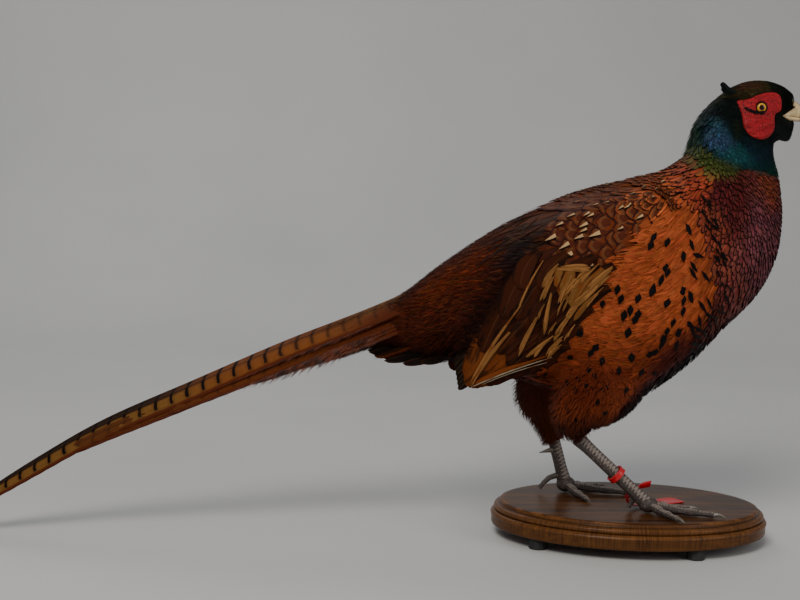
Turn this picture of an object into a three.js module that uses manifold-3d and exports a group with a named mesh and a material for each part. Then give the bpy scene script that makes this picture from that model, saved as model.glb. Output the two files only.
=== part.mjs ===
// A mounted cock pheasant, life size, on its oval wooden plinth. Millimetres, +Z up.
// The bird faces +X and its left side is +Y. It is modelled about its own mid-plane, y = 0, with z = 0
// on the floor, and the finished group is then moved so that its origin is the middle of its underside.
import * as THREE from 'three';
import { mergeVertices } from 'three/addons/utils/BufferGeometryUtils.js';
import Module from 'manifold-3d';

const wasm = await Module();
wasm.setup();

// ---- Driving dimensions ------------------------------------------------------------------------------

const GAP = 0.3; // clearance between neighbouring pieces
const RIGHT = -1; // side of the body, as the sign of y
const LEFT = 1;

// Plinth: an oval board with a moulded edge on four rubber feet.
const PLINTH_CENTRE = new THREE.Vector2(0, 3);
const PLINTH_TURN = -6; // degrees, oval's long axis from +X
const PLINTH_TOP_HALF_LENGTH = 111.5;
const PLINTH_TOP_HALF_WIDTH = 85;
const PLINTH_THICKNESS = 21.5;
const PLINTH_BAND_HEIGHT = 8.5; // plain band under the mouldings
const PLINTH_BAND_REACH = 8; // how far the band stands out past the top face
const FOOT_RADIUS = 8;
const FOOT_HEIGHT = 9;
const FOOT_INSET = 10.5;
const FOOT_ANGLES = [-64, -139, 41, 116];
const PLINTH_SIDES = 26;
const PLINTH_BOTTOM = FOOT_HEIGHT + GAP;
const GROUND = PLINTH_BOTTOM + PLINTH_THICKNESS; // the face that the bird stands on

// Body sections from the rump to the forehead. Each is an oval in a plane square to the mid-plane:
// its back point and belly point as [x, z], and its half width.
const BODY_SECTIONS = [
  { back: [-226, 199], belly: [-222, 164], half: 18 },
  { back: [-203, 211], belly: [-189, 158], half: 31 },
  { back: [-166, 240], belly: [-150, 157], half: 45 },
  { back: [-116, 273], belly: [-107, 140], half: 60 },
  { back: [-64, 298.5], belly: [-60, 126], half: 70 },
  { back: [-16, 312.5], belly: [-12, 119], half: 74 },
  { back: [13, 320], belly: [36, 149], half: 74 },
  { back: [27, 327], belly: [70, 184], half: 69 },
  { back: [35, 333.5], belly: [99, 213], half: 60 },
  { back: [38.5, 339], belly: [116, 245], half: 51 },
  { back: [39.5, 344], belly: [121.3, 281], half: 41.5 },
  { back: [41, 350.5], belly: [118, 314], half: 32.5 },
  { back: [44.2, 361], belly: [112.4, 334], half: 27 },
  { back: [51.4, 372.6], belly: [111.6, 345.5], half: 23.5 },
  { back: [61.6, 384.6], belly: [115, 349.3], half: 21.5 },
  { back: [74, 394], belly: [119.2, 349.8], half: 19.5 },
  { back: [88, 399.6], belly: [123.6, 348.8], half: 16.8 },
  { back: [103, 400.4], belly: [126.8, 351.2], half: 13.2 },
  { back: [115, 397.5], belly: [128.4, 357.8], half: 10.6 },
  { back: [123, 393.2], belly: [129.4, 364], half: 8 },
  { back: [127, 388.5], belly: [129.6, 368.6], half: 4.8 },
];
const NECK_START = 10.5; // places along the list of sections
const HEAD_START = 13.6;
const FACE_START = 12; // the wattles reach back over the top of the neck
const SECTION_POWER = 2.15; // 2 is an ellipse, more is squarer
const BODY_SIDES = 20;
const TRUNK_STEPS = 16;
const NECK_STEPS = 6;
const HEAD_STEPS = 7;

// Eye, wattle and ear tuft, in the side view as [x, z].
const EYE_CENTRE = [94.2, 377];
const EYE_RADIUS = 6;
const EYE_SUNK = 3.4; // depth of the eyeball's centre under the cheek
const WATTLE_OUTLINE = [
  [73, 382], [82, 383], [90, 385.6], [98, 389.6], [107, 391.4], [114.6, 387.4], [117, 376.5],
  [110.4, 372.6], [109.8, 359.5], [98, 350], [81.6, 357], [76.4, 370],
];
const WATTLE_THICKNESS = 1.5;
const WATTLE_REACH = [3, 44]; // nearest and farthest distance of its face from the mid-plane
const EAR_TUFTS = {
  right: { base: [71, -8, 390], bend: [65, -9, 392.5], tip: [60, -9.5, 397.2], radius: 3.2 },
  left: { base: [76, 10, 389.5], bend: [70.5, 11.5, 388.5], tip: [66.5, 12.4, 391.4], radius: 2.8 },
};

// Bill sections from the gape to the tip, as for the body.
const UPPER_BILL = [
  { back: [122.5, 386.2], belly: [114, 370.9], half: 9.4 },
  { back: [128.2, 384.8], belly: [121, 370.6], half: 8.1 },
  { back: [134.4, 381.4], belly: [128.5, 370.2], half: 6.6 },
  { back: [141, 376.8], belly: [136.5, 369.6], half: 4.9 },
  { back: [146.6, 371.6], belly: [143.6, 367.9], half: 2.8 },
  { back: [149.6, 367.4], belly: [148.6, 366.2], half: 0.9 },
];
const LOWER_BILL = [
  { back: [116, 370.2], belly: [118.5, 366.2], half: 8.6 },
  { back: [126, 369.8], belly: [127.5, 366.4], half: 6 },
  { back: [134.5, 369.3], belly: [135, 366.6], half: 4.2 },
  { back: [141.4, 367.3], belly: [141.2, 366.3], half: 1.4 },
];

// Wing plates from the shoulder to the tip: centre line [x, z], half breadth, and the plate's distance
// from the mid-plane.
const WING_SECTIONS = [
  { centre: [20, 272], breadth: 9, out: 70 },
  { centre: [-4, 268], breadth: 24, out: 76.5 },
  { centre: [-38, 256], breadth: 33, out: 79.5 },
  { centre: [-70, 236], breadth: 34, out: 77 },
  { centre: [-98, 203], breadth: 37, out: 72 },
  { centre: [-118, 176], breadth: 29, out: 64 },
  { centre: [-137, 155], breadth: 17, out: 56 },
  { centre: [-153, 142], breadth: 9, out: 50 },
  { centre: [-167, 133], breadth: 1.6, out: 46 },
];
const WING_DEPTH = 13; // thickness that is sunk towards the body before it is fitted to it
const WING_EDGE = 1.2;
const WING_BREADTH = 34; // the breadth that the depth and the turns are given for
const WING_UPPER_TURN = 13; // how far the upper edge turns in over the back
const WING_LOWER_TURN = 5;

// Tail: paired blades laid in a gable under one ridge line, given as [x, z] from root to tip.
const TAIL_RIDGE = [
  [-185, 218], [-240, 193.6], [-300, 169], [-380, 132.5], [-456, 97], [-512, 63], [-572, 22],
];
const TAIL_BLADES = [
  { name: 'tail_middle', tip: 1, inner: [0.4, 0], width: 27, slope: 26 },
  { name: 'tail_side_1', tip: 0.79, inner: [10, -8], width: 19, slope: 44 },
  { name: 'tail_side_2', tip: 0.59, inner: [13, -12.8], width: 16, slope: 48 },
  { name: 'tail_side_3', tip: 0.4, inner: [15, -17], width: 15, slope: 52 },
  { name: 'tail_side_4', tip: 0.108, inner: [8, -43], width: 15, slope: 12 },
];
const TAIL_STEEPENING = 20; // degrees that a flat blade's slope gains along the whole tail
const STEEP_BLADE = 45;
const TAIL_THICKNESS = 1.3;
const TAIL_ARCH = 0.06; // how far a blade bulges, over its width
const TAIL_TIP = { sharpness: 8, narrowing: 0.28, closing: 0.9 };

// Legs. Each foot's joint is [x, y, z], then the ankle, and the feathered thigh down to it.
const RIGHT_FOOT = {
  joint: [6, -39, GROUND + 7.6],
  ankle: [-47.5, -38, 86.5],
  spurAt: 0.62,
  spur: [-0.15, 1, -0.1],
  hindReach: 9,
};
const LEFT_FOOT = {
  joint: [-49, 42, GROUND + 7.6],
  ankle: [-69.5, 42, 108.5],
  spurAt: 0.56,
  spur: [-0.92, -0.36, -0.05],
  hindReach: 21,
};
const RIGHT_THIGH = [
  { at: [-22, -34, 172], radius: 28 },
  { at: [-33, -40, 146], radius: 33 },
  { at: [-46, -41, 121], radius: 24 },
  { at: [-51, -39, 103], radius: 15 },
  { at: [-51, -38, 90], radius: 9 },
];
const LEFT_THIGH = [
  { at: [-44, 32, 172], radius: 28 },
  { at: [-56, 38, 143], radius: 38 },
  { at: [-66, 41, 116], radius: 35 },
  { at: [-67, 43, 98], radius: 23 },
  { at: [-64, 42, 84], radius: 13 },
  { at: [-62, 42, 77], radius: 8.6 },
];
const SHANK_DEPTH = 5.8; // half of its fore-and-aft size
const SHANK_WIDTH = 4.4; // half of its sideways size
const ANKLE_SWELL = { size: 0.18, spread: 0.1 };
const JOINT_SWELL = { size: 0.2, spread: 0.12 };
const THIGH_FLATNESS = 0.86; // its sideways size over its fore-and-aft size
const SPUR = { length: 12, radius: 3.4 };
const HIND_TOE_AT = 0.88; // down the shank

// Toes: outer, middle, inner and hind. Directions are degrees from +X, seen from above.
const TOE_LENGTHS = { outer: 35, middle: 54, inner: 37 };
const RIGHT_TOES = { outer: -63, middle: -19, inner: 10 };
const LEFT_TOES = { outer: 27, middle: -12, inner: -74 };
const TOE_RADIUS = 3.9;
const TOE_TIP_RADIUS = 2.3;
const KNUCKLES = { count: 3, swell: 0.1, heights: [5.2, 3.6, 2.9] };
const FOOT_PAD = { length: 8.6, width: 8.2, height: 7, ahead: 1, drop: 0.2 };
const CLAW = { length: 10, width: 2, height: 2.2, tip: 0.5 };
const HIND_TOE_RADIUS = 3;
const HIND_TOE_TIP_RADIUS = 1.9;

// Leg band, strap and tag.
const BAND = { along: 0.52, inner: 6.9, outer: 8.3, height: 6.6, waist: 0.5 };
const STRAP_ROUTE = [
  [25.6, -2, 33.4], [18, -8.5, 33.4], [9, -15.5, 33.4], [1, -21.5, 33.6], [-5, -26.5, 35.2], [-8.6, -28.8, 39.5],
  [-8, -28, 45], [-2, -24.5, 48.6], [6, -19, 50], [14.5, -14.5, 50.8],
];
const STRAP_WIDTH = 5;
const STRAP_THICKNESS = 0.9;
const TAG = { centre: [37, 5], length: 21, width: 19, corner: 3, thickness: 1, turn: 25 };

const COLOURS = {
  body: 0x8a4a22, neck: 0x173f45, head: 0x2a2a20, wattle: 0x8f1d22, eye: 0xc48a2c, bill: 0xc9b68d,
  wing: 0xa1783c, thigh: 0x3a2418, leg: 0x5a5048, tail: 0x80602e, wood: 0x4a2b18, rubber: 0x141414,
  tag: 0xc22030,
};

// ---- Solids from rings -------------------------------------------------------------------------------

const vec = (x, y, z) => new THREE.Vector3(x, y, z);
const radians = THREE.MathUtils.degToRad;

/** A closed solid through a row of rings that all have the same number of points. */
function solidFromRings(rings) {
  const sides = rings[0].length;
  const points = rings.flat();
  const middleOf = (ring) => ring.reduce((sum, p) => sum.add(p), vec(0, 0, 0)).divideScalar(sides);
  points.push(middleOf(rings[0]), middleOf(rings.at(-1)));
  const triangles = [];
  for (let r = 0; r + 1 < rings.length; r += 1) {
    for (let i = 0; i < sides; i += 1) {
      const a = r * sides + i;
      const b = r * sides + ((i + 1) % sides);
      triangles.push(a, b, a + sides, b, b + sides, a + sides);
    }
  }
  const last = (rings.length - 1) * sides;
  for (let i = 0; i < sides; i += 1) {
    const next = (i + 1) % sides;
    triangles.push(points.length - 2, next, i, points.length - 1, last + i, last + next);
  }
  return solidFromTriangles(points, triangles);
}

function signedVolume(points, triangles) {
  let volume = 0;
  for (let t = 0; t < triangles.length; t += 3) {
    const [a, b, c] = [points[triangles[t]], points[triangles[t + 1]], points[triangles[t + 2]]];
    volume += a.dot(b.clone().cross(c)) / 6;
  }
  return volume;
}

function solidFromTriangles(points, triangles) {
  if (signedVolume(points, triangles) < 0) {
    triangles.reverse();
  }
  const vertProperties = Float32Array.from(points.flatMap((p) => [p.x, p.y, p.z]));
  const mesh = new wasm.Mesh({ numProp: 3, vertProperties, triVerts: Uint32Array.from(triangles) });
  mesh.merge();
  return new wasm.Manifold(mesh);
}

function solidFromGeometry(geometry) {
  const plain = geometry.clone();
  plain.deleteAttribute('normal');
  plain.deleteAttribute('uv');
  const merged = mergeVertices(plain, 1e-4);
  const place = merged.getAttribute('position');
  const pointAt = (_, i) => new THREE.Vector3().fromBufferAttribute(place, i);
  const points = Array.from({ length: place.count }, pointAt);
  return solidFromTriangles(points, Array.from(merged.index.array));
}

/** The largest body of a cut solid, so that no loose shaving is kept. */
function mainBody(solid) {
  const bodies = new wasm.Manifold(solid.getMesh()).decompose();
  return bodies.reduce((best, body) => (body.volume() > best.volume() ? body : best));
}

const carve = (solid, ...cutters) => mainBody(cutters.reduce((rest, cutter) => rest.subtract(cutter), solid));

/** The same solid on the other side of the mid-plane. */
const mirrored = (solid) => solid.mirror([0, 1, 0]);

function namedMesh(name, solid, colour, roughness = 0.7) {
  const { vertProperties, triVerts } = solid.getMesh();
  const geometry = new THREE.BufferGeometry();
  geometry.setAttribute('position', new THREE.BufferAttribute(vertProperties, 3));
  geometry.setIndex(new THREE.BufferAttribute(triVerts, 1));
  const material = new THREE.MeshStandardMaterial({ color: colour, roughness, metalness: 0 });
  const mesh = new THREE.Mesh(geometry, material);
  mesh.name = name;
  return mesh;
}

// ---- Body loft ---------------------------------------------------------------------------------------

/** A smooth value along a list, where place 2.5 is halfway between the third item and the fourth. */
function along(list, place, pick) {
  const at = (i) => pick(list[THREE.MathUtils.clamp(i, 0, list.length - 1)]);
  const i = Math.min(Math.floor(place), list.length - 2);
  const t = place - i;
  const [p0, p1, p2, p3] = [at(i - 1), at(i), at(i + 1), at(i + 2)];
  const slope0 = (p2 - p0) / 2;
  const slope1 = (p3 - p1) / 2;
  return (
    p1 * (2 * t ** 3 - 3 * t ** 2 + 1) + slope0 * (t ** 3 - 2 * t ** 2 + t)
    + p2 * (3 * t ** 2 - 2 * t ** 3) + slope1 * (t ** 3 - t ** 2)
  );
}

function sectionAt(sections, place) {
  const back = vec(along(sections, place, (s) => s.back[0]), 0, along(sections, place, (s) => s.back[1]));
  const belly = vec(along(sections, place, (s) => s.belly[0]), 0, along(sections, place, (s) => s.belly[1]));
  return { back, belly, half: along(sections, place, (s) => s.half) };
}

/** One section as a ring of points, made larger all round by grow. */
function sectionRing({ back, belly, half }, sides, power, grow, shift) {
  const centre = back.clone().add(belly).multiplyScalar(0.5).add(shift);
  const up = back.clone().sub(belly).multiplyScalar(0.5);
  const height = up.length();
  up.normalize();
  return Array.from({ length: sides }, (_, i) => {
    const angle = (2 * Math.PI * i) / sides;
    const curve = (value) => Math.sign(value) * Math.abs(value) ** (2 / power);
    return centre.clone()
      .addScaledVector(up, curve(Math.cos(angle)) * (height + grow))
      .add(vec(0, curve(Math.sin(angle)) * (half + grow), 0));
  });
}

/** A loft through the sections between two places, with a flat end trimmed back or run on at each. */
function sectionLoft(sections, { from = 0, to = sections.length - 1, steps, grow = 0, sides = BODY_SIDES,
  power = SECTION_POWER, startTrim = 0, endTrim = 0 }) {
  const normalAt = (place) => {
    const { back, belly } = sectionAt(sections, place);
    const chord = back.sub(belly);
    return vec(chord.z, 0, -chord.x).normalize();
  };
  const rings = [];
  for (let i = 0; i <= steps; i += 1) {
    const place = from + ((to - from) * i) / steps;
    const shift = vec(0, 0, 0);
    if (i === 0) {
      shift.addScaledVector(normalAt(place), startTrim);
    }
    if (i === steps) {
      shift.addScaledVector(normalAt(place), -endTrim);
    }
    rings.push(sectionRing(sectionAt(sections, place), sides, power, grow, shift));
  }
  return solidFromRings(rings);
}

/** Half width of the body where a line square to the mid-plane passes [x, z], or 0 outside it. */
function bodyHalfWidth([x, z]) {
  const step = 0.1;
  const point = vec(x, 0, z);
  const sideOf = (place) => {
    const { back, belly } = sectionAt(BODY_SECTIONS, place);
    const chord = back.clone().sub(belly);
    const offset = point.clone().sub(belly);
    return chord.z * offset.x - chord.x * offset.z;
  };
  for (let place = 0; place + step < BODY_SECTIONS.length; place += step) {
    if (sideOf(place) >= 0 && sideOf(place + step) < 0) {
      const { back, belly, half } = sectionAt(BODY_SECTIONS, place + step / 2);
      const centre = back.clone().add(belly).multiplyScalar(0.5);
      const height = back.distanceTo(belly) / 2;
      const level = Math.min(1, point.distanceTo(centre) / height);
      return half * (1 - level ** SECTION_POWER) ** (1 / SECTION_POWER);
    }
  }
  return 0;
}

// ---- Tubes along a path ------------------------------------------------------------------------------

/** A tapering limb: an oval section carried along a path, level across it, or across the bird if steep. */
function limb(path, sizeAt, { steps, sides = 12, grow = 0, floor = -Infinity }) {
  const run = path.getPoint(1).sub(path.getPoint(0)).normalize();
  const reference = Math.abs(run.z) > 0.5 ? vec(1, 0, 0) : vec(0, 0, 1);
  const rings = [];
  for (let i = 0; i <= steps; i += 1) {
    const t = i / steps;
    const centre = path.getPoint(t);
    const forward = path.getTangent(t);
    const side = reference.clone().cross(forward).normalize();
    const upright = forward.clone().cross(side).normalize();
    const [wide, high] = sizeAt(t);
    rings.push(Array.from({ length: sides }, (_, k) => {
      const angle = (2 * Math.PI * k) / sides;
      const point = centre.clone()
        .addScaledVector(side, Math.cos(angle) * (wide + grow))
        .addScaledVector(upright, Math.sin(angle) * (high + grow));
      point.z = Math.max(point.z, floor);
      return point;
    }));
  }
  return solidFromRings(rings);
}

const curveThrough = (points) => (
  new THREE.CatmullRomCurve3(points.map((p) => vec(...p)), false, 'centripetal'));

// ---- Plinth ------------------------------------------------------------------------------------------

/** The moulded edge from the top face down, as [reach past the top face, height above the underside]. */
function mouldingProfile() {
  const arc = (centre, radius, fromDegrees, toDegrees, count) => Array.from({ length: count }, (_, i) => {
    const angle = radians(fromDegrees + ((toDegrees - fromDegrees) * i) / (count - 1));
    return [centre[0] + radius * Math.cos(angle), centre[1] + radius * Math.sin(angle)];
  });
  const bandTop = PLINTH_BAND_HEIGHT;
  return [
    [0, PLINTH_THICKNESS], [0.9, PLINTH_THICKNESS - 0.9], [1.1, bandTop + 9.6],
    ...arc([3.4, bandTop + 6.6], 2.6, 100, -80, 5),
    ...arc([5, bandTop + 0.3], 3.8, 92, 8, 3),
    [PLINTH_BAND_REACH, bandTop], [PLINTH_BAND_REACH, 1.2], [PLINTH_BAND_REACH - 1.2, 0],
  ];
}

function ovalRing(halfLength, halfWidth, z) {
  return Array.from({ length: PLINTH_SIDES }, (_, i) => {
    const angle = (2 * Math.PI * i) / PLINTH_SIDES;
    return vec(halfLength * Math.cos(angle), halfWidth * Math.sin(angle), z);
  });
}

function makePlinth() {
  const plinth = new THREE.Group();
  const rings = mouldingProfile().map(([reach, height]) => (
    ovalRing(PLINTH_TOP_HALF_LENGTH + reach, PLINTH_TOP_HALF_WIDTH + reach, height)));
  const board = namedMesh('plinth', solidFromRings(rings), COLOURS.wood, 0.35);
  board.position.z = PLINTH_BOTTOM;
  plinth.add(board);
  FOOT_ANGLES.forEach((degrees, i) => {
    const profile = [
      [0, 0], [FOOT_RADIUS - 1, 0], [FOOT_RADIUS, 1], [FOOT_RADIUS - 0.8, FOOT_HEIGHT], [0, FOOT_HEIGHT],
    ];
    const lathe = new THREE.LatheGeometry(profile.map((p) => new THREE.Vector2(...p)), 12);
    lathe.rotateX(Math.PI / 2);
    const foot = namedMesh(`plinth_foot_${i + 1}`, solidFromGeometry(lathe), COLOURS.rubber, 0.8);
    const reach = PLINTH_BAND_REACH - FOOT_INSET;
    foot.position.set(
      (PLINTH_TOP_HALF_LENGTH + reach) * Math.cos(radians(degrees)),
      (PLINTH_TOP_HALF_WIDTH + reach) * Math.sin(radians(degrees)),
      0,
    );
    plinth.add(foot);
  });
  plinth.rotation.z = radians(PLINTH_TURN);
  plinth.position.set(PLINTH_CENTRE.x, PLINTH_CENTRE.y, 0);
  return plinth;
}

// ---- Head --------------------------------------------------------------------------------------------

function eyeball(side, grow = 0) {
  const ball = new THREE.SphereGeometry(EYE_RADIUS + grow, 10, 6);
  ball.translate(EYE_CENTRE[0], side * (bodyHalfWidth(EYE_CENTRE) - EYE_SUNK), EYE_CENTRE[1]);
  return solidFromGeometry(ball);
}

const billLoft = (sections, grow = 0) => sectionLoft(sections, { steps: 6, sides: 10, power: 2, grow });

/** Bare skin that lies on the cheek and the top of the neck, clear of the eyeball. */
function makeWattle(side, ...cutters) {
  const outline = new THREE.Shape();
  outline.moveTo(...WATTLE_OUTLINE[0]);
  outline.splineThru(WATTLE_OUTLINE.slice(1).map((p) => new THREE.Vector2(...p)));
  outline.closePath();
  const [near, far] = WATTLE_REACH;
  const extrusion = { depth: far - near, bevelEnabled: false, curveSegments: 1 };
  const block = new THREE.ExtrudeGeometry(outline, extrusion);
  block.rotateX(Math.PI / 2);
  block.translate(0, side === LEFT ? far : -near, 0);
  const face = sectionLoft(BODY_SECTIONS, { from: FACE_START, steps: 8, grow: WATTLE_THICKNESS });
  return carve(solidFromGeometry(block).intersect(face), ...cutters);
}

function makeEarTuft({ base, bend, tip, radius }) {
  const sizeAt = (t) => {
    const size = radius * (1 - 0.72 * t ** 1.5);
    return [size * 0.7, size];
  };
  return limb(curveThrough([base, bend, tip]), sizeAt, { steps: 4, sides: 6 });
}

function makeHead() {
  const head = new THREE.Group();
  const headLoft = (grow = 0) => (
    sectionLoft(BODY_SECTIONS, { from: HEAD_START, steps: HEAD_STEPS, grow, startTrim: GAP - grow }));
  const eyes = [RIGHT, LEFT].map((side) => eyeball(side, GAP));
  const bills = [billLoft(UPPER_BILL, GAP), billLoft(LOWER_BILL, GAP)];
  head.add(namedMesh('head', carve(headLoft(), ...eyes, ...bills), COLOURS.head));
  head.add(namedMesh('bill_upper', billLoft(UPPER_BILL), COLOURS.bill, 0.4));
  const lowerBill = carve(billLoft(LOWER_BILL), billLoft(UPPER_BILL, GAP));
  head.add(namedMesh('bill_lower', lowerBill, COLOURS.bill, 0.4));
  for (const [side, word] of [[RIGHT, 'right'], [LEFT, 'left']]) {
    head.add(namedMesh(`eye_${word}`, eyeball(side), COLOURS.eye, 0.1));
    const flesh = [headLoft(GAP), neckLoft(GAP)];
    head.add(namedMesh(`wattle_${word}`, makeWattle(side, ...flesh, eyeball(side, GAP)), COLOURS.wattle));
    head.add(namedMesh(`ear_tuft_${word}`, carve(makeEarTuft(EAR_TUFTS[word]), ...flesh), COLOURS.head));
  }
  return head;
}

// ---- Trunk, neck, wings and tail ---------------------------------------------------------------------

const trunkLoft = (grow = 0) => (
  sectionLoft(BODY_SECTIONS, { to: NECK_START, steps: TRUNK_STEPS, grow, startTrim: -grow }));

const neckLoft = (grow = 0) => (
  sectionLoft(BODY_SECTIONS, { from: NECK_START, to: HEAD_START, steps: NECK_STEPS, grow, startTrim: GAP }));

/** A wing plate: rounded outside, sunk into the body, and tapering to the wing tip. */
function wingPlate() {
  const sides = 8;
  const place = (i, pick) => along(WING_SECTIONS, i, pick);
  const steps = 11;
  const rings = Array.from({ length: steps + 1 }, (_, i) => {
    const at = (i * (WING_SECTIONS.length - 1)) / steps;
    const centre = [place(at, (s) => s.centre[0]), place(at, (s) => s.centre[1])];
    const ahead = [place(at + 0.01, (s) => s.centre[0]), place(at + 0.01, (s) => s.centre[1])];
    const run = new THREE.Vector2(ahead[0] - centre[0], ahead[1] - centre[1]).normalize();
    const breadth = place(at, (s) => s.breadth);
    const out = place(at, (s) => s.out);
    return Array.from({ length: sides }, (__, k) => {
      const angle = (2 * Math.PI * k) / sides;
      const across = Math.cos(angle);
      const turn = across > 0 ? WING_UPPER_TURN : WING_LOWER_TURN;
      const depth = (WING_EDGE + (WING_DEPTH * breadth) / WING_BREADTH) / 2;
      const y = out - turn * across ** 2 * (breadth / WING_BREADTH) - depth + depth * Math.sin(angle);
      return vec(centre[0] + run.y * across * breadth, RIGHT * y, centre[1] - run.x * across * breadth);
    });
  });
  return solidFromRings(rings);
}

/** One tail blade: a thin strip that slopes down and out from the ridge line, narrowing to its tip. */
function tailBlade({ tip, inner, width, slope }, grow = 0) {
  const ridge = curveThrough(TAIL_RIDGE.map(([x, z]) => [x, 0, z]));
  const steps = Math.max(4, Math.round(12 * tip));
  const rings = Array.from({ length: steps + 1 }, (_, i) => {
    const t = i / steps;
    const root = ridge.getPointAt(t * tip);
    const angle = radians(slope + (slope < STEEP_BLADE ? TAIL_STEEPENING * t * tip : 0));
    const [cosine, sine] = [Math.cos(angle), Math.sin(angle)];
    const narrowing = Math.sqrt(1 - t ** TAIL_TIP.sharpness) * (1 - TAIL_TIP.narrowing * tip * t);
    const blade = width * Math.max(0.1, narrowing);
    const closing = Math.max(0, (t - TAIL_TIP.closing) / (1 - TAIL_TIP.closing));
    const start = inner[0] * (1 - 0.4 * closing);
    return [0, 0.5, 1, 1, 0.5, 0].map((across, k) => {
      const lift = TAIL_ARCH * width * Math.sin(Math.PI * across);
      const skin = (k < 3 ? 1 : -1) * (TAIL_THICKNESS / 2 + grow);
      const y = start + across * blade * cosine + (lift + skin) * sine;
      const z = inner[1] * (1 - 0.5 * t * tip) - across * blade * sine + (lift + skin) * cosine;
      return vec(root.x, RIGHT * Math.max(y, 0.2), root.z + z);
    });
  });
  return solidFromRings(rings);
}

function makeTrunk() {
  const trunk = new THREE.Group();
  trunk.add(namedMesh('trunk', trunkLoft(), COLOURS.body));
  trunk.add(namedMesh('neck', neckLoft(), COLOURS.neck, 0.5));
  const wing = carve(wingPlate(), trunkLoft(GAP));
  trunk.add(namedMesh('wing_right', wing, COLOURS.wing));
  trunk.add(namedMesh('wing_left', mirrored(wing), COLOURS.wing));
  const blades = TAIL_BLADES.map((blade, i) => {
    const above = TAIL_BLADES.slice(0, i).map((other) => tailBlade(other, GAP));
    return carve(tailBlade(blade), trunkLoft(GAP), ...above);
  });
  TAIL_BLADES.forEach(({ name }, i) => {
    trunk.add(namedMesh(`${name}_right`, blades[i], COLOURS.tail));
    trunk.add(namedMesh(`${name}_left`, mirrored(blades[i]), COLOURS.tail));
  });
  return trunk;
}

// ---- Legs --------------------------------------------------------------------------------------------

function makeThigh(stages) {
  const path = curveThrough(stages.map((stage) => stage.at));
  const sizeAt = (t) => {
    const radius = along(stages, t * (stages.length - 1), (stage) => stage.radius);
    return [radius * THIGH_FLATNESS, radius];
  };
  return (grow = 0) => limb(path, sizeAt, { steps: 7, sides: 11, grow });
}

/** The bare shank with its ankle knob and the pad under the toes. */
function makeShank({ joint, ankle }) {
  const path = curveThrough([ankle, joint]);
  const sizeAt = (t) => {
    const swell = 1 + ANKLE_SWELL.size * Math.exp(-((t / ANKLE_SWELL.spread) ** 2))
      + JOINT_SWELL.size * Math.exp(-(((1 - t) / JOINT_SWELL.spread) ** 2));
    return [SHANK_WIDTH * swell, SHANK_DEPTH * swell];
  };
  return (grow = 0) => {
    const pad = new THREE.SphereGeometry(1, 10, 6);
    pad.scale(FOOT_PAD.length + grow, FOOT_PAD.width + grow, FOOT_PAD.height + grow);
    pad.translate(joint[0] + FOOT_PAD.ahead, joint[1], joint[2] - FOOT_PAD.drop);
    return limb(path, sizeAt, { steps: 6, sides: 8, grow }).add(solidFromGeometry(pad));
  };
}

/** A toe that lies on the plinth: a level run from the foot's joint, raised a little at each knuckle. */
function toePath(joint, degrees, length) {
  const run = [Math.cos(radians(degrees)), Math.sin(radians(degrees))];
  const level = GROUND + GAP;
  const rise = [joint[2] - level - 0.6, ...KNUCKLES.heights, TOE_TIP_RADIUS];
  return curveThrough(rise.map((z, i) => {
    const reach = 2 + (length * i) / (rise.length - 1);
    return [joint[0] + run[0] * reach, joint[1] + run[1] * reach, level + z];
  }));
}

const toeSize = (t) => {
  const knuckle = 1 + KNUCKLES.swell * Math.cos(t * KNUCKLES.count * 2 * Math.PI);
  const radius = (TOE_RADIUS + (TOE_TIP_RADIUS - TOE_RADIUS) * t) * knuckle;
  return [radius, radius];
};

/** A curved claw that carries on from a toe's tip and bends down to a point. */
function makeClaw(path) {
  const tip = path.getPoint(1);
  const ahead = path.getTangent(1).setZ(0).normalize();
  const point = (reach, drop) => tip.clone().addScaledVector(ahead, reach).add(vec(0, 0, -drop)).toArray();
  const level = GROUND + GAP;
  const low = tip.z - level - CLAW.tip;
  const claw = curveThrough([point(GAP + 0.1, 0), point(CLAW.length * 0.5, -0.5), point(CLAW.length, low)]);
  const taper = (size, t) => size + (CLAW.tip - size) * t;
  const sizeAt = (t) => [taper(CLAW.width, t), taper(CLAW.height, t)];
  return limb(claw, sizeAt, { steps: 3, sides: 6, floor: level });
}

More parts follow.
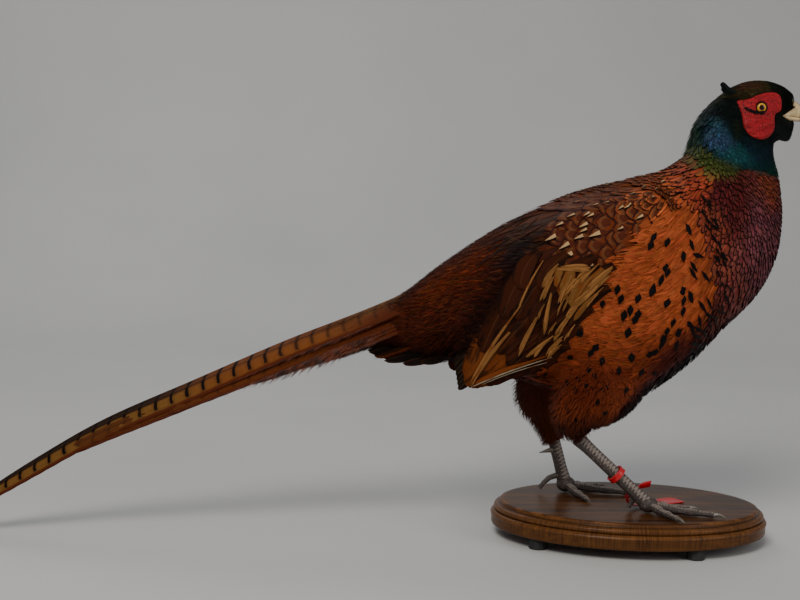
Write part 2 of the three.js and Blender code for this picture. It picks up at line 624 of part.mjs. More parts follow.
function makeFoot(word, side, foot, toes, thighSolid) {
  const leg = new THREE.Group();
  const shankSolid = makeShank(foot);
  const bone = curveThrough([foot.ankle, foot.joint]);
  const shank = carve(shankSolid(), thighSolid(GAP));
  leg.add(namedMesh(`shank_${word}`, shank, COLOURS.leg));

  const spurRoot = bone.getPoint(foot.spurAt);
  const rearward = vec(...foot.spur).normalize();
  const spurPath = curveThrough([
    spurRoot.toArray(),
    spurRoot.clone().addScaledVector(rearward, 8).toArray(),
    spurRoot.clone().addScaledVector(rearward, SHANK_DEPTH + SPUR.length).add(vec(0, 0, -1)).toArray(),
  ]);
  const spurSize = (t) => [SPUR.radius * (1.1 - t), SPUR.radius * (1.1 - t)];
  const spur = limb(spurPath, spurSize, { steps: 4, sides: 6 });
  leg.add(namedMesh(`spur_${word}`, carve(spur, shankSolid(GAP)), COLOURS.leg));

  const made = [];
  for (const [toe, degrees] of Object.entries(toes)) {
    const path = toePath(foot.joint, degrees, TOE_LENGTHS[toe]);
    const build = (grow = 0) => limb(path, toeSize, { steps: 6, sides: 8, grow, floor: GROUND + GAP });
    const neighbours = made.map((other) => other(GAP));
    leg.add(namedMesh(`toe_${toe}_${word}`, carve(build(), shankSolid(GAP), ...neighbours), COLOURS.leg));
    leg.add(namedMesh(`claw_${toe}_${word}`, makeClaw(path), COLOURS.leg));
    made.push(build);
  }

  const heel = bone.getPoint(HIND_TOE_AT);
  const hindPath = curveThrough([
    heel.toArray(),
    [heel.x - foot.hindReach * 0.6, heel.y - side * 2, heel.z - 3],
    [heel.x - foot.hindReach, heel.y - side * 3, GROUND + 4],
  ]);
  const hindSize = (t) => {
    const radius = HIND_TOE_RADIUS + (HIND_TOE_TIP_RADIUS - HIND_TOE_RADIUS) * t;
    return [radius, radius];
  };
  const hindToe = limb(hindPath, hindSize, { steps: 4, sides: 7, floor: GROUND + GAP });
  leg.add(namedMesh(`toe_hind_${word}`, carve(hindToe, shankSolid(GAP)), COLOURS.leg));
  return leg;
}

// ---- Band, strap and tag -----------------------------------------------------------------------------

function makeBand() {
  const { joint, ankle } = RIGHT_FOOT;
  const half = BAND.height / 2;
  const profile = [
    [BAND.inner, -half], [BAND.outer, -half], [BAND.outer, -1], [BAND.outer - BAND.waist, 0], [BAND.outer, 1],
    [BAND.outer, half], [BAND.inner, half], [BAND.inner, -half],
  ];
  const ring = new THREE.LatheGeometry(profile.map((p) => new THREE.Vector2(...p)), 14);
  const bone = vec(...ankle).sub(vec(...joint)).normalize();
  ring.applyQuaternion(new THREE.Quaternion().setFromUnitVectors(vec(0, 1, 0), bone));
  ring.translate(...curveThrough([joint, ankle]).getPoint(BAND.along).toArray());
  return namedMesh('leg_band', solidFromGeometry(ring), COLOURS.tag, 0.45);
}

function makeTag() {
  const { length, width, corner, thickness, turn, centre } = TAG;
  const [x, y] = [length / 2, width / 2];
  const outline = new THREE.Shape();
  outline.moveTo(corner - x, -y);
  outline.lineTo(x - corner, -y);
  outline.absarc(x - corner, corner - y, corner, -Math.PI / 2, 0);
  outline.absarc(x - corner, y - corner, corner, 0, Math.PI / 2);
  outline.absarc(corner - x, y - corner, corner, Math.PI / 2, Math.PI);
  outline.absarc(corner - x, corner - y, corner, Math.PI, 1.5 * Math.PI);
  const extrusion = { depth: thickness, bevelEnabled: false, curveSegments: 2 };
  const plate = new THREE.ExtrudeGeometry(outline, extrusion);
  plate.rotateZ(radians(turn));
  plate.translate(centre[0], centre[1], GROUND + GAP);
  return solidFromGeometry(plate);
}

function makeStrap() {
  const sizeAt = () => [STRAP_WIDTH / 2, STRAP_THICKNESS / 2];
  return limb(curveThrough(STRAP_ROUTE), sizeAt, { steps: 14, sides: 4, floor: GROUND + GAP });
}

// ---- The whole mount ---------------------------------------------------------------------------------

const group = new THREE.Group();
const mount = new THREE.Group();
const legs = [
  ['right', RIGHT, RIGHT_FOOT, RIGHT_TOES, makeThigh(RIGHT_THIGH)],
  ['left', LEFT, LEFT_FOOT, LEFT_TOES, makeThigh(LEFT_THIGH)],
];

mount.add(makePlinth(), makeTrunk(), makeHead(), makeBand());
for (const [word, side, foot, toes, thighSolid] of legs) {
  mount.add(namedMesh(`thigh_${word}`, carve(thighSolid(), trunkLoft(GAP)), COLOURS.thigh));
  mount.add(makeFoot(word, side, foot, toes, thighSolid));
}
mount.add(namedMesh('tag', makeTag(), COLOURS.tag, 0.45));
mount.add(namedMesh('tag_strap', makeStrap(), COLOURS.tag, 0.45));

group.add(mount);
group.updateMatrixWorld(true);
const extent = new THREE.Box3().setFromObject(group, true);
mount.position.set(-(extent.min.x + extent.max.x) / 2, -(extent.min.y + extent.max.y) / 2, -extent.min.z);
group.updateMatrixWorld(true);

export default group;
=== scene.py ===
"""Visual model of a mounted cock pheasant on its oval wooden plinth.

Sizes are millimetres in the bird's own frame: +X to the bill, +Y to the bird's left, +Z up, with
y = 0 on the bird's mid-plane and z = 0 on the floor. PartFrame turns them into the part's metres.
"""
import logging
import math
from dataclasses import dataclass, field, replace
from enum import Enum
from typing import Any, Sequence

import bpy
import numpy as np
from mathutils import Matrix, Vector


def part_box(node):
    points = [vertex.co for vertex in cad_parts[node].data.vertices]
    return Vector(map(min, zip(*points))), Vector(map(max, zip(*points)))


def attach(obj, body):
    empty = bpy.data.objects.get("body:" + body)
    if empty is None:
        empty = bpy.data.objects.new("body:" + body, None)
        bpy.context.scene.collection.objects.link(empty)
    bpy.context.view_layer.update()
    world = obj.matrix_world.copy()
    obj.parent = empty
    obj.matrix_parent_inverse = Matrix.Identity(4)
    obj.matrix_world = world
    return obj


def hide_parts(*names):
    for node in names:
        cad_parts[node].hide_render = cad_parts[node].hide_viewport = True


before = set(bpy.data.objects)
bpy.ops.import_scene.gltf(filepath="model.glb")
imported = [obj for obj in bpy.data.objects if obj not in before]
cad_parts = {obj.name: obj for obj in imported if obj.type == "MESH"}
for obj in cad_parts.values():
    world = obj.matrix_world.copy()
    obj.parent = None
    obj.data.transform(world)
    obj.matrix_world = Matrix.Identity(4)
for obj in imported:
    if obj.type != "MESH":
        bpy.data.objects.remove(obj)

log = logging.getLogger("pheasant")

Array = np.ndarray
Rng = np.random.Generator
Material = bpy.types.Material
Piece = bpy.types.Object
Pair = tuple[float, float]
Triple = tuple[float, float, float]
Colour = Triple
Arrays = tuple[Array, ...]
Table = tuple[tuple[float, ...], ...]
Points = Sequence[Sequence[float]]
Shell = tuple[Array, list[Array]]

ROOT_BODY = "root"
PATCH = 0.003  # size of one vane's patch on the bake map
EDGES = np.array([0.0, 1.0])  # shares at the two edges of a strip
SIDES = np.array([-1, 1])
MM = 1000  # millimetres in a metre
TURN = 6.283  # radians in a full turn
SEED = 4521
X_UP, Y_UP = (1.0, 0.0, 0.0), (0.0, 1.0, 0.0)


# ---- Numbers ----


def smoothstep(low: float, high: float, value: Array) -> Array:
    """A soft step from 0 at low to 1 at high."""
    t = np.clip((value - low) / (high - low), 0.0, 1.0)
    return t * t * (3.0 - 2.0 * t)


def unit(vectors: Array) -> Array:
    """The vectors at length 1."""
    return vectors / np.maximum(np.linalg.norm(vectors, axis=-1, keepdims=True), 1e-12)


def along(values: Array, place: Array) -> Array:
    """A smooth value along a list.

    Args:
        values: One value, or one row of values, for each item.
        place: Places along the list, where 2.5 is halfway between the third item and the fourth.

    Returns:
        The values at the places.
    """
    last = len(values) - 1
    i = np.clip(np.floor(place).astype(int), 0, last - 1)
    t = (place - i).reshape(place.shape + (1,) * (values.ndim - 1))
    p0, p1, p2, p3 = (values[np.clip(i + k, 0, last)] for k in (-1, 0, 1, 2))
    slope0, slope1 = (p2 - p0) / 2, (p3 - p1) / 2
    return (p1 * (2 * t**3 - 3 * t**2 + 1) + slope0 * (t**3 - 2 * t**2 + t) + p2 * (3 * t**2 - 2 * t**3)
        + slope1 * (t**3 - t**2))


def evenly(line: Array, count: int) -> Array:
    """Evenly placed samples of a line.

    Args:
        line: Points of the line.
        count: How many samples.

    Returns:
        The samples.
    """
    run = np.concatenate([[0.0], np.cumsum(np.linalg.norm(np.diff(line, axis=0), axis=1))])
    at = np.linspace(0, run[-1], count)
    return np.stack([np.interp(at, run, line[:, k]) for k in range(line.shape[1])], 1)


def round_turn(count: int) -> Array:
    """Angles evenly round a circle."""
    return np.linspace(0, 2 * math.pi, count, endpoint=False)


def chart_of(u: Array, v: Array) -> Array:
    """Shares across and along a sheet, one row for each of its points."""
    return np.stack(np.broadcast_arrays(u[None], v[:, None]), -1).reshape(-1, 2)


def stretched(values: Points, count: int) -> Array:
    """Smooth rows at even places along a list."""
    return along(np.array(values, float), np.linspace(0, len(values) - 1, count))


def ribbon(spine: Array, across: Array, width: Array, shares: Array) -> Array:
    """A strip of points by row and column: half a width across its spine on each side."""
    return spine[:, None] + across * (width[:, None] * shares)[..., None]


def polyline(points: Points, count: int) -> Array:
    """A smooth line through the points, as evenly placed samples."""
    return evenly(stretched(points, 40 * len(points)), count)


def mix(a: Array, b: Array, amount: Array) -> Array:
    """Rows of a turned into rows of b by amount."""
    return a + (b - a) * np.asarray(amount)[..., None]


# ---- Frames ----


@dataclass(frozen=True)
class PartFrame:
    """Places the bird's millimetres in the part's own frame, by the plinth."""

    plinth_centre: Pair = (0.0, 3.0)
    plinth_bottom: float = 9.3

    def shift(self) -> Array:
        """The bird frame's origin in the part, in metres.

        Returns:
            The three measures.
        """
        low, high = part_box("plinth")
        return np.array([(low.x + high.x) / 2 - self.plinth_centre[0] / MM,
            (low.y + high.y) / 2 - self.plinth_centre[1] / MM, low.z - self.plinth_bottom / MM])

    def place(self, points: Array) -> Array:
        """Millimetres in the bird frame as metres in the part's frame."""
        return np.asarray(points, float) / MM + self.shift()


PART = PartFrame()


class Side(Enum):
    """Side of the bird, as the sign of y."""

    RIGHT = -1
    LEFT = 1

    @property
    def word(self) -> str:
        """The side's word in a node's name."""
        return self.name.lower()


# ---- Meshes ----


def grid(rows: int, columns: int, closed: bool) -> Arrays:
    """Faces over a grid of points.

    Args:
        rows: Rows of points.
        columns: Points in each row.
        closed: Whether the last column joins the first.

    Returns:
        The faces, and the (row, column) of each of their corners.
    """
    i, j = np.meshgrid(np.arange(rows - 1), np.arange(columns - (not closed)), indexing="ij")
    corner_rows = np.stack([i, i, i + 1, i + 1], -1).reshape(-1, 4)
    corner_columns = np.stack([j, j + 1, j + 1, j], -1).reshape(-1, 4)
    faces = corner_rows * columns + corner_columns % columns
    return faces, np.stack([corner_rows, corner_columns], -1).astype(float)


def keep_piece(piece: Piece, material: Material, slot: str, *nodes: str) -> None:
    """Dresses a finished piece and ties it to the frame.

    Args:
        piece: The object.
        material: Its finish.
        slot: The record's material slot; not used.
        nodes: The CAD nodes that it stands for.
    """
    piece.data.materials.clear()
    piece.data.materials.append(material)
    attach(piece, ROOT_BODY)
    if nodes:
        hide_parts(*nodes)
    log.info("%s: %d faces", piece.name, len(piece.data.polygons))


def linked(name: str, data: bpy.types.ID) -> Piece:
    """A new object in the scene.

    Args:
        name: Its name.
        data: What it shows.

    Returns:
        The object.
    """
    piece = bpy.data.objects.new(name, data)
    bpy.context.scene.collection.objects.link(piece)
    return piece


def make_piece(name: str, points: Array, faces: Array | Sequence[Array],
        maps: dict[str, Array] | None = None, tints: dict[str, Array] | None = None,
        loose: bool = False) -> Piece:
    """A mesh object from arrays.

    Args:
        name: The piece's name.
        points: Points in bird millimetres.
        faces: Faces, as an array of quads or a list of arrays.
        maps: UV maps by name, with one row for each point or for each corner.
        tints: Colour attributes by name, with one linear colour for each point.
        loose: Whether the points are metres about an origin of their own.

    Returns:
        The linked object, smooth shaded, with its place in its mesh.
    """
    batches = [faces] if isinstance(faces, np.ndarray) else list(faces)
    corners = np.concatenate([b.reshape(-1) for b in batches]).astype(np.int32)
    sizes = np.concatenate([np.full(len(b), b.shape[1]) for b in batches])
    mesh = bpy.data.meshes.new(name)
    mesh.vertices.add(len(points))
    spots = points if loose else PART.place(points)
    mesh.vertices.foreach_set("co", spots.astype(np.float32).reshape(-1))
    mesh.loops.add(len(corners))
    mesh.loops.foreach_set("vertex_index", corners)
    mesh.polygons.add(len(sizes))
    mesh.polygons.foreach_set("loop_start", (np.cumsum(sizes) - sizes).astype(np.int32))
    mesh.update(calc_edges=True)
    for map_name, rows in (maps or {}).items():
        layer = mesh.uv_layers.new(name=map_name)
        chosen = rows[corners] if len(rows) == len(points) else rows
        layer.data.foreach_set("uv", chosen.astype(np.float32).reshape(-1))
    for tint_name, colours in (tints or {}).items():
        layer = mesh.attributes.new(tint_name, "FLOAT_COLOR", "POINT")
        rgba = np.concatenate([colours, np.ones((len(colours), 1))], 1)
        layer.data.foreach_set("color", rgba.astype(np.float32).reshape(-1))
    mesh.validate()
    mesh.shade_smooth()
    return linked(name, mesh)


@dataclass
class Sheets:
    """Sheets of points gathered for one piece."""

    points: list[Array] = field(default_factory=list)
    faces: list[Array] = field(default_factory=list)
    rows: dict[str, list[Array]] = field(default_factory=dict)
    count: int = 0

    def gather(self, points: Array, faces: Array, **rows: Array) -> None:
        """Adds points and their faces, with rows of maps and tints for the points.

        Args:
            points: Points, as rows.
            faces: Faces between the points.
            rows: Maps and tints by name, with a row for each point.
        """
        self.points.append(points)
        self.faces.append(faces + self.count)
        self.count += len(points)
        for name, values in rows.items():
            self.rows.setdefault(name, []).append(values)

    def add(self, sheet: Array, **rows: Array) -> None:
        """Adds one sheet of points by row and column."""
        self.gather(sheet.reshape(-1, 3), grid(*sheet.shape[:2], False)[0], **rows)

    def piece(self, name: str) -> Piece:
        """The sheets as one piece, with maps from rows of two and tints from rows of three.

        Args:
            name: The piece's name.

        Returns:
            The linked object.
        """
        rows = {key: np.concatenate(values) for key, values in self.rows.items()}
        maps, tints = ({k: v for k, v in rows.items() if v.shape[1] == n} for n in (2, 3))
        return make_piece(name, np.concatenate(self.points), np.concatenate(self.faces), maps, tints)


def closed_rings(rings: Array) -> Shell:
    """Points and faces of a shell over closed rings, with a point at each end.

    Args:
        rings: Points by ring and column.

    Returns:
        Points and faces.
    """
    rows, sides = rings.shape[:2]
    points = np.concatenate([rings[0].mean(0)[None], rings.reshape(-1, 3), rings[-1].mean(0)[None]])
    j = np.arange(sides)
    k = (j + 1) % sides
    end = 1 + (rows - 1) * sides
    first = np.stack([0 * j, 1 + k, 1 + j], 1)
    last = np.stack([0 * j + end + sides, end + j, end + k], 1)
    return points, [grid(rows, sides, True)[0] + 1, first, last]


def joined(*shells: Shell) -> Shell:
    """Several shells as one.

    Args:
        shells: Points and faces of each shell.

    Returns:
        Points and faces.
    """
    starts = np.cumsum([0] + [len(points) for points, _ in shells[:-1]])
    faces = [batch + start for (_, batches), start in zip(shells, starts) for batch in batches]
    return np.concatenate([points for points, _ in shells]), faces


def face_out(piece: Piece) -> Piece:
    """Turns the faces of a closed piece outwards.

    Args:
        piece: The object.

    Returns:
        The same object.
    """
    import bmesh

    shell = bmesh.new()
    shell.from_mesh(piece.data)
    bmesh.ops.recalc_face_normals(shell, faces=shell.faces)
    shell.to_mesh(piece.data)
    shell.free()
    return piece


def turn_to(piece: Piece, way: Triple, first: int | None = None) -> None:
    """Turns an open piece's faces so that the first of them face a way."""
    if sum(p.normal.dot(way) for p in piece.data.polygons[:first]) < 0:
        piece.data.flip_normals()


def plain_mesh(piece: Piece) -> Piece:
    """The piece with its modifiers made into its mesh.

    Args:
        piece: The object.

    Returns:
        The same object.
    """
    shape = bpy.data.meshes.new_from_object(piece.evaluated_get(bpy.context.evaluated_depsgraph_get()))
    piece.modifiers.clear()
    old, piece.data = piece.data, shape
    shape.name = piece.name
    bpy.data.meshes.remove(old)
    return piece


@dataclass
class Tube:
    """A round member along a line, closed at its ends."""

    line: Array
    breadths: Array
    heights: Array
    sides: int = 20
    up: Triple = (0.0, 0.0, 1.0)

    def build(self) -> Shell:
        """Points and faces.

        Returns:
            Points and faces.
        """
        run = unit(np.gradient(self.line, axis=0))
        across = unit(np.cross(np.broadcast_to(np.array(self.up), run.shape), run))
        up = unit(np.cross(run, across))
        turn = round_turn(self.sides)
        ring = (across[:, None] * (np.cos(turn)[None, :, None] * self.breadths[:, None, None]) + up[:, None]
            * (np.sin(turn)[None, :, None] * self.heights[:, None, None]))
        return closed_rings(self.line[:, None] + ring)


# ---- Shaders ----


class Wire:
    """A shader socket that sums can be written with."""

    def __init__(self, graph: "Graph", socket: bpy.types.NodeSocket) -> None:
        """Holds one output socket of the graph."""
        self.graph = graph
        self.socket = socket

    def __add__(self, other: "Wire | float") -> "Wire":
        """Sum."""
        return self.graph.reckon("ADD", self, other)

    __radd__ = __add__

    def __sub__(self, other: "Wire | float") -> "Wire":
        """Difference."""
        return self.graph.reckon("SUBTRACT", self, other)

    def __rsub__(self, other: float) -> "Wire":
        """Difference from a number."""
        return self.graph.reckon("SUBTRACT", other, self)

    def __mul__(self, other: "Wire | float") -> "Wire":
        """Product."""
        return self.graph.reckon("MULTIPLY", self, other)

    __rmul__ = __mul__

    def __truediv__(self, other: "Wire | float") -> "Wire":
        """Quotient."""
        return self.graph.reckon("DIVIDE", self, other)

    def above(self, low: float, high: float) -> "Wire":
        """0 below low and 1 above high, or the other way round where high is the lower.

        Args:
            low: Where the step starts.
            high: Where it ends.

        Returns:
            The step.
        """
        settings = {"interpolation_type": "SMOOTHSTEP"}
        if low > high:
            return 1 - self.above(high, low)
        sockets = {"Value": self, "From Min": low, "From Max": high}
        return self.graph.wire("ShaderNodeMapRange", settings, sockets)


class Graph:
    """The nodes of one material."""

    def __init__(self, name: str) -> None:
        """An empty material of this name.

        Args:
            name: The material's name.
        """
        self.material = bpy.data.materials.new(name)
        self.material.use_nodes = True
        self.tree = self.material.node_tree
        self.tree.nodes.clear()

    def node(self, kind: str, settings: dict[str, Any] | None = None,
            sockets: dict[Any, Any] | None = None) -> bpy.types.Node:
        """Adds a node.

        Args:
            kind: The node's type.
            settings: Its properties; "stops" are a ramp's (place, colour) pairs.
            sockets: Values, wires or sockets for its inputs, by name or number.

        Returns:
            The node.
        """
        node = self.tree.nodes.new(kind)
        for key, value in (settings or {}).items():
            if key == "stops":
                while len(node.color_ramp.elements) < len(value):
                    node.color_ramp.elements.new(1.0)
                for element, (place, colour) in zip(node.color_ramp.elements, value):
                    element.position = place
                    element.color = (*colour, 1.0)
            else:
                setattr(node, key, value)
        for key, value in (sockets or {}).items():
            target = node.inputs[key]
            if isinstance(value, Wire):
                self.tree.links.new(value.socket, target)
            elif isinstance(value, bpy.types.NodeSocket):
                self.tree.links.new(value, target)
            elif isinstance(value, tuple) and len(value) == 3 and target.type == "RGBA":
                target.default_value = (*value, 1.0)
            else:
                target.default_value = value
        return node

    def wire(self, kind: str, settings: dict[str, Any] | None = None, sockets: dict[Any, Any] | None = None,
            output: str | int = 0) -> Wire:
        """Adds a node and gives one of its outputs."""
        return Wire(self, self.node(kind, settings, sockets).outputs[output])

    def reckon(self, operation: str, *values: "Wire | float") -> Wire:
        """Adds a Math node on values."""
        return self.wire("ShaderNodeMath", {"operation": operation}, dict(enumerate(values)))

    def blend(self, first: Any, second: Any, amount: Any, mode: str = "MIX") -> Wire:
        """Mixes two colours by amount."""
        settings = {"data_type": "RGBA", "blend_type": mode}
        return self.wire("ShaderNodeMix", settings, {0: amount, 6: first, 7: second}, 2)

    def place(self, scale: Sequence[float] = (1.0, 1.0, 1.0)) -> Wire:
        """Object coordinates, stretched."""
        here = self.wire("ShaderNodeTexCoord", output="Object")
        return self.wire("ShaderNodeMapping", None, {"Vector": here, "Scale": tuple(scale)})

    def noise(self, place: Wire, scale: float, detail: float = 3.0, rough: float = 0.5) -> Wire:
        """Fractal noise from 0 to 1."""
        sockets = {"Vector": place, "Scale": scale, "Detail": detail, "Roughness": rough}
        return self.wire("ShaderNodeTexNoise", None, sockets)

    def vector(self, *parts: "Wire | float") -> Wire:
        """Up to three numbers as one vector."""
        return self.wire("ShaderNodeCombineXYZ", None, dict(enumerate(parts)))

    def chart(self, name: str) -> tuple[Wire, Wire]:
        """The two directions of a UV map.

        Args:
            name: The map's name.

        Returns:
            Shares across and along.
        """
        split = self.node("ShaderNodeSeparateXYZ", None,
            {0: self.wire("ShaderNodeUVMap", {"uv_map": name})})
        return Wire(self, split.outputs[0]), Wire(self, split.outputs[1])

    def tint(self, name: str) -> Wire:
        """A colour attribute of the mesh."""
        return self.wire("ShaderNodeAttribute", {"attribute_name": name}, None, "Color")

    def tint_value(self, name: str) -> Wire:
        """A grey attribute of the mesh as a number."""
        return self.wire("ShaderNodeAttribute", {"attribute_name": name}, None, "Fac")

    def bump(self, height: Wire, distance: float, strength: float = 1.0) -> Wire:
        """A normal from heights, with the distance in metres."""
        sockets = {"Height": height, "Distance": distance, "Strength": strength}
        return self.wire("ShaderNodeBump", None, sockets)

    def surface(self, **sockets: Any) -> Material:
        """Ends the graph in a Principled shader.

        Args:
            sockets: The shader's inputs, with spaces written as underscores.

        Returns:
            The material.
        """
        named = {key.replace("_", " "): value for key, value in sockets.items()}
        shader = self.node("ShaderNodeBsdfPrincipled", None, named)
        self.node("ShaderNodeOutputMaterial", None, {"Surface": shader.outputs[0]})
        return self.material


def srgb(red: int, green: int, blue: int) -> Colour:
    """A linear colour from its 0 to 255 levels, purer than they read, for soft light pales it.

    Args:
        red: Red level.
        green: Green level.
        blue: Blue level.

    Returns:
        The linear colour.
    """
    levels = np.array([red, green, blue]) / 255
    linear = np.where(levels <= 0.04045, levels / 12.92, ((levels + 0.055) / 1.055) ** 2.4)
    grey = linear @ np.array([0.2126, 0.7152, 0.0722])
    return tuple(float(v) for v in np.maximum(grey + (linear - grey) * 1.05, 0.0008))


def rgb(red: int, green: int, blue: int) -> Array:
    """The same colour as an array."""
    return np.array(srgb(red, green, blue))


def flat_tint(count: int, *colour: int) -> Array:
    """One colour for each of a count of points or feathers."""
    return np.tile(rgb(*colour), (count, 1))


# ---- Body ----


class Surface:
    """A tube of skin as a fine grid of points: rows run along it and columns round it."""

    def __init__(self, points: Array) -> None:
        """Measures the grid.

        Args:
            points: Points by row and column; the last column meets the first, and the coat lies
                towards row 0.
        """
        self.points = points
        lengthways = np.gradient(points, axis=0)
        round_about = (np.roll(points, -1, 1) - np.roll(points, 1, 1)) / 2
        self.normals = unit(np.cross(lengthways, round_about))
        middle = points.mean(1, keepdims=True)
        if np.sum(self.normals * (points - middle)) < 0:
            self.normals = -self.normals
        self.row_size = np.maximum(np.linalg.norm(lengthways, axis=2), 1e-3)
        self.column_size = np.maximum(np.linalg.norm(round_about, axis=2), 1e-3)
        self.length = np.cumsum(self.row_size, axis=0)

    @property
    def columns(self) -> int:
        """Columns round the tube."""
        return self.points.shape[1]

    @property
    def rows(self) -> int:
        """Rows along the tube."""
        return self.points.shape[0]

    def look(self, table: Array, row: Array, column: Array) -> Array:
        """Values of a table of the grid at places between its points.

        Args:
            table: Values by row and column.
            row: Rows, with fractions.
            column: Columns, with fractions.

        Returns:
            The values.
        """
        row = np.clip(row, 0, self.rows - 1.001)
        i = row.astype(int)
        j = np.floor(column).astype(int)
        s, t = row - i, column - j
        j0, j1 = j % self.columns, (j + 1) % self.columns
        if table.ndim == 3:
            s, t = s[..., None], t[..., None]
        top = table[i, j0] * (1 - t) + table[i, j1] * t
        return top * (1 - s) + (table[i + 1, j0] * (1 - t) + table[i + 1, j1] * t) * s

    def travel(self, row: Array, column: Array, run: Array) -> Array:
        """The row that lies a run of millimetres towards row 0.

        Args:
            row: Rows, with fractions.
            column: Columns, with fractions.
            run: Millimetres towards row 0.

        Returns:
            The rows.
        """
        target = self.look(self.length, row, column) - run
        at = row - run / self.look(self.row_size, row, column)
        for _ in range(3):
            at = at - (self.look(self.length, at, column) - target) / self.look(self.row_size, at, column)
            at = np.clip(at, 0, self.rows - 1.001)
        return at


@dataclass(frozen=True)
class BodyForm:
    """The body from the tail's root to the face, as sections with a back, a belly and half a width."""

    sections: Table = ((-300, 168, -296, 142, 14), (-262, 184, -256, 154, 16), (-226, 199, -222, 164, 18),
        (-203, 211, -189, 158, 31), (-166, 240, -150, 157, 45), (-116, 273, -107, 140, 60),
        (-64, 298.5, -60, 126, 70), (-16, 312.5, -12, 119, 74), (13, 320, 36, 149, 74),
        (27, 327, 70, 184, 69), (35, 333.5, 99, 213, 60), (38.5, 339, 116, 245, 51),
        (39.5, 344, 121.3, 281, 41.5), (41, 350.5, 118, 314, 32.5), (44.2, 361, 112.4, 334, 27),
        (51.4, 372.6, 111.6, 345.5, 23.5), (61.6, 384.6, 115, 349.3, 21.5), (74, 394, 119.2, 349.8, 19.5),
        (88, 399.6, 123.6, 348.8, 16.8), (103, 400.4, 126.8, 351.2, 13.2), (115, 397.5, 128.4, 357.8, 10.6),
        (123, 393.2, 129.4, 364, 8), (127, 388.5, 129.6, 368.6, 4.8))
    power: float = 2.15
    columns: int = 288
    step: float = 0.05
    head: float = 15.6

    def stations(self) -> Array:
        """The section numbers of the fine rows."""
        return np.arange(0, len(self.sections) - 1 + self.step / 2, self.step)

    def frames(self, stations: Array) -> Arrays:
        """The middles of sections, their way up, and half their heights and widths.

        Args:
            stations: Section numbers, with fractions.

        Returns:
            Middles, ways up, half heights and half widths.
        """
        rows = along(np.array(self.sections, float), stations)
        back, belly = rows[:, :2], rows[:, 2:4]
        height = np.linalg.norm(back - belly, axis=1) / 2
        return (back + belly) / 2, (back - belly) / (2 * height[:, None]), height, rows[:, 4]

    def rings(self, stations: Array, inset: Array | float = 0.0) -> Array:
        """Rings of points at section numbers, each starting at the back.

        Args:
            stations: Section numbers, with fractions.
            inset: How far inside the body the rings lie.

        Returns:
            Points by station and column.
        """
        centre, up, height, half = self.frames(stations)
        height, half = height - inset, half - inset
        turn = round_turn(self.columns)
        c, s = np.cos(turn), np.sin(turn)
        reach = (np.abs(c / height[:, None]) ** self.power + np.abs(s / half[:, None]) ** self.power) ** (-1
            / self.power)
        return np.stack([centre[:, :1] + up[:, :1] * reach * c, reach * s,
            centre[:, 1:] + up[:, 1:] * reach * c], -1)

    def half_width(self, x: Array, z: Array) -> Array:
        """How far the body's side stands from the mid-plane at side-view points.

        Args:
            x: Places along the bird.
            z: Heights.

        Returns:
            Distances in millimetres.
        """
        centre, up, height, half = self.frames(self.stations())
        flat = np.stack([np.ravel(x), np.ravel(z)], 1)[:, None] - centre[None]
        off = np.abs(flat[..., 0] * up[:, 1] - flat[..., 1] * up[:, 0])
        rise = np.abs(flat[..., 0] * up[:, 0] + flat[..., 1] * up[:, 1]) / height
        best = np.argmin(off + 50 * (rise > 1), axis=1)
        pick = np.arange(len(best))
        share = np.clip(1 - np.minimum(rise[pick, best], 1) ** self.power, 0, 1) ** (1 / self.power)
        return (half[best] * share).reshape(np.shape(x))


@dataclass(frozen=True)
class WingPlate:
    """A folded wing as a thick plate: places of its middle line, half breadths and outer distances."""

    line: Table = ((20, 272, 9, 70), (-4, 268, 24, 76.5), (-38, 256, 33, 79.5), (-70, 236, 34, 77),
        (-98, 203, 37, 72), (-118, 176, 29, 64), (-137, 155, 17, 56), (-153, 142, 9, 50),
        (-167, 133, 1.6, 46))
    upper_turn: float = 13.0
    lower_turn: float = 5.0
    broad: float = 34.0

    def outer(self, x: Array, z: Array) -> Array:
        """How far the wing's outer face stands from the mid-plane at side-view points.

        Args:
            x: Places along the bird.
            z: Heights.

        Returns:
            Distances in millimetres.
        """
        fine = stretched(self.line, 161)
        gap = np.stack([np.ravel(x), np.ravel(z)], 1)[:, None] - fine[None, :, :2]
        distance = np.linalg.norm(gap, axis=2)
        best = np.argmin(distance, axis=1)
        pick = np.arange(len(best))
        run = unit(np.gradient(fine[:, :2], axis=0))[best]
        near = gap[pick, best]
        across = near[:, 0] * run[:, 1] - near[:, 1] * run[:, 0]
        share = distance[pick, best] / fine[best, 2]
        turn = np.where(across > 0, self.upper_turn, self.lower_turn)
        fall = turn * np.minimum(share, 1) ** 2 * fine[best, 2] / self.broad
        beyond = np.maximum(distance[pick, best] - fine[best, 2], 0)
        return (fine[best, 3] - fall - beyond * (0.25 + 0.05 * beyond)).reshape(np.shape(x))


RIGHT_JOINT, RIGHT_ANKLE = (6, -39, 38.4), (-47.5, -38, 86.5)
THIGH_RIGHT = ((-22, -34, 172, 28), (-36, -40, 146, 35), (-52, -41, 123, 28), (-57, -39, 109, 19),
    (-55, -38, 103, 11), (-52, -38, 98, 7))
THIGH_LEFT = ((-44, 32, 172, 28), (-56, 38, 143, 38), (-65, 41, 117, 31), (-64, 43, 100, 18),
    (-62, 42, 86, 10), (-60, 42, 79, 7.4))


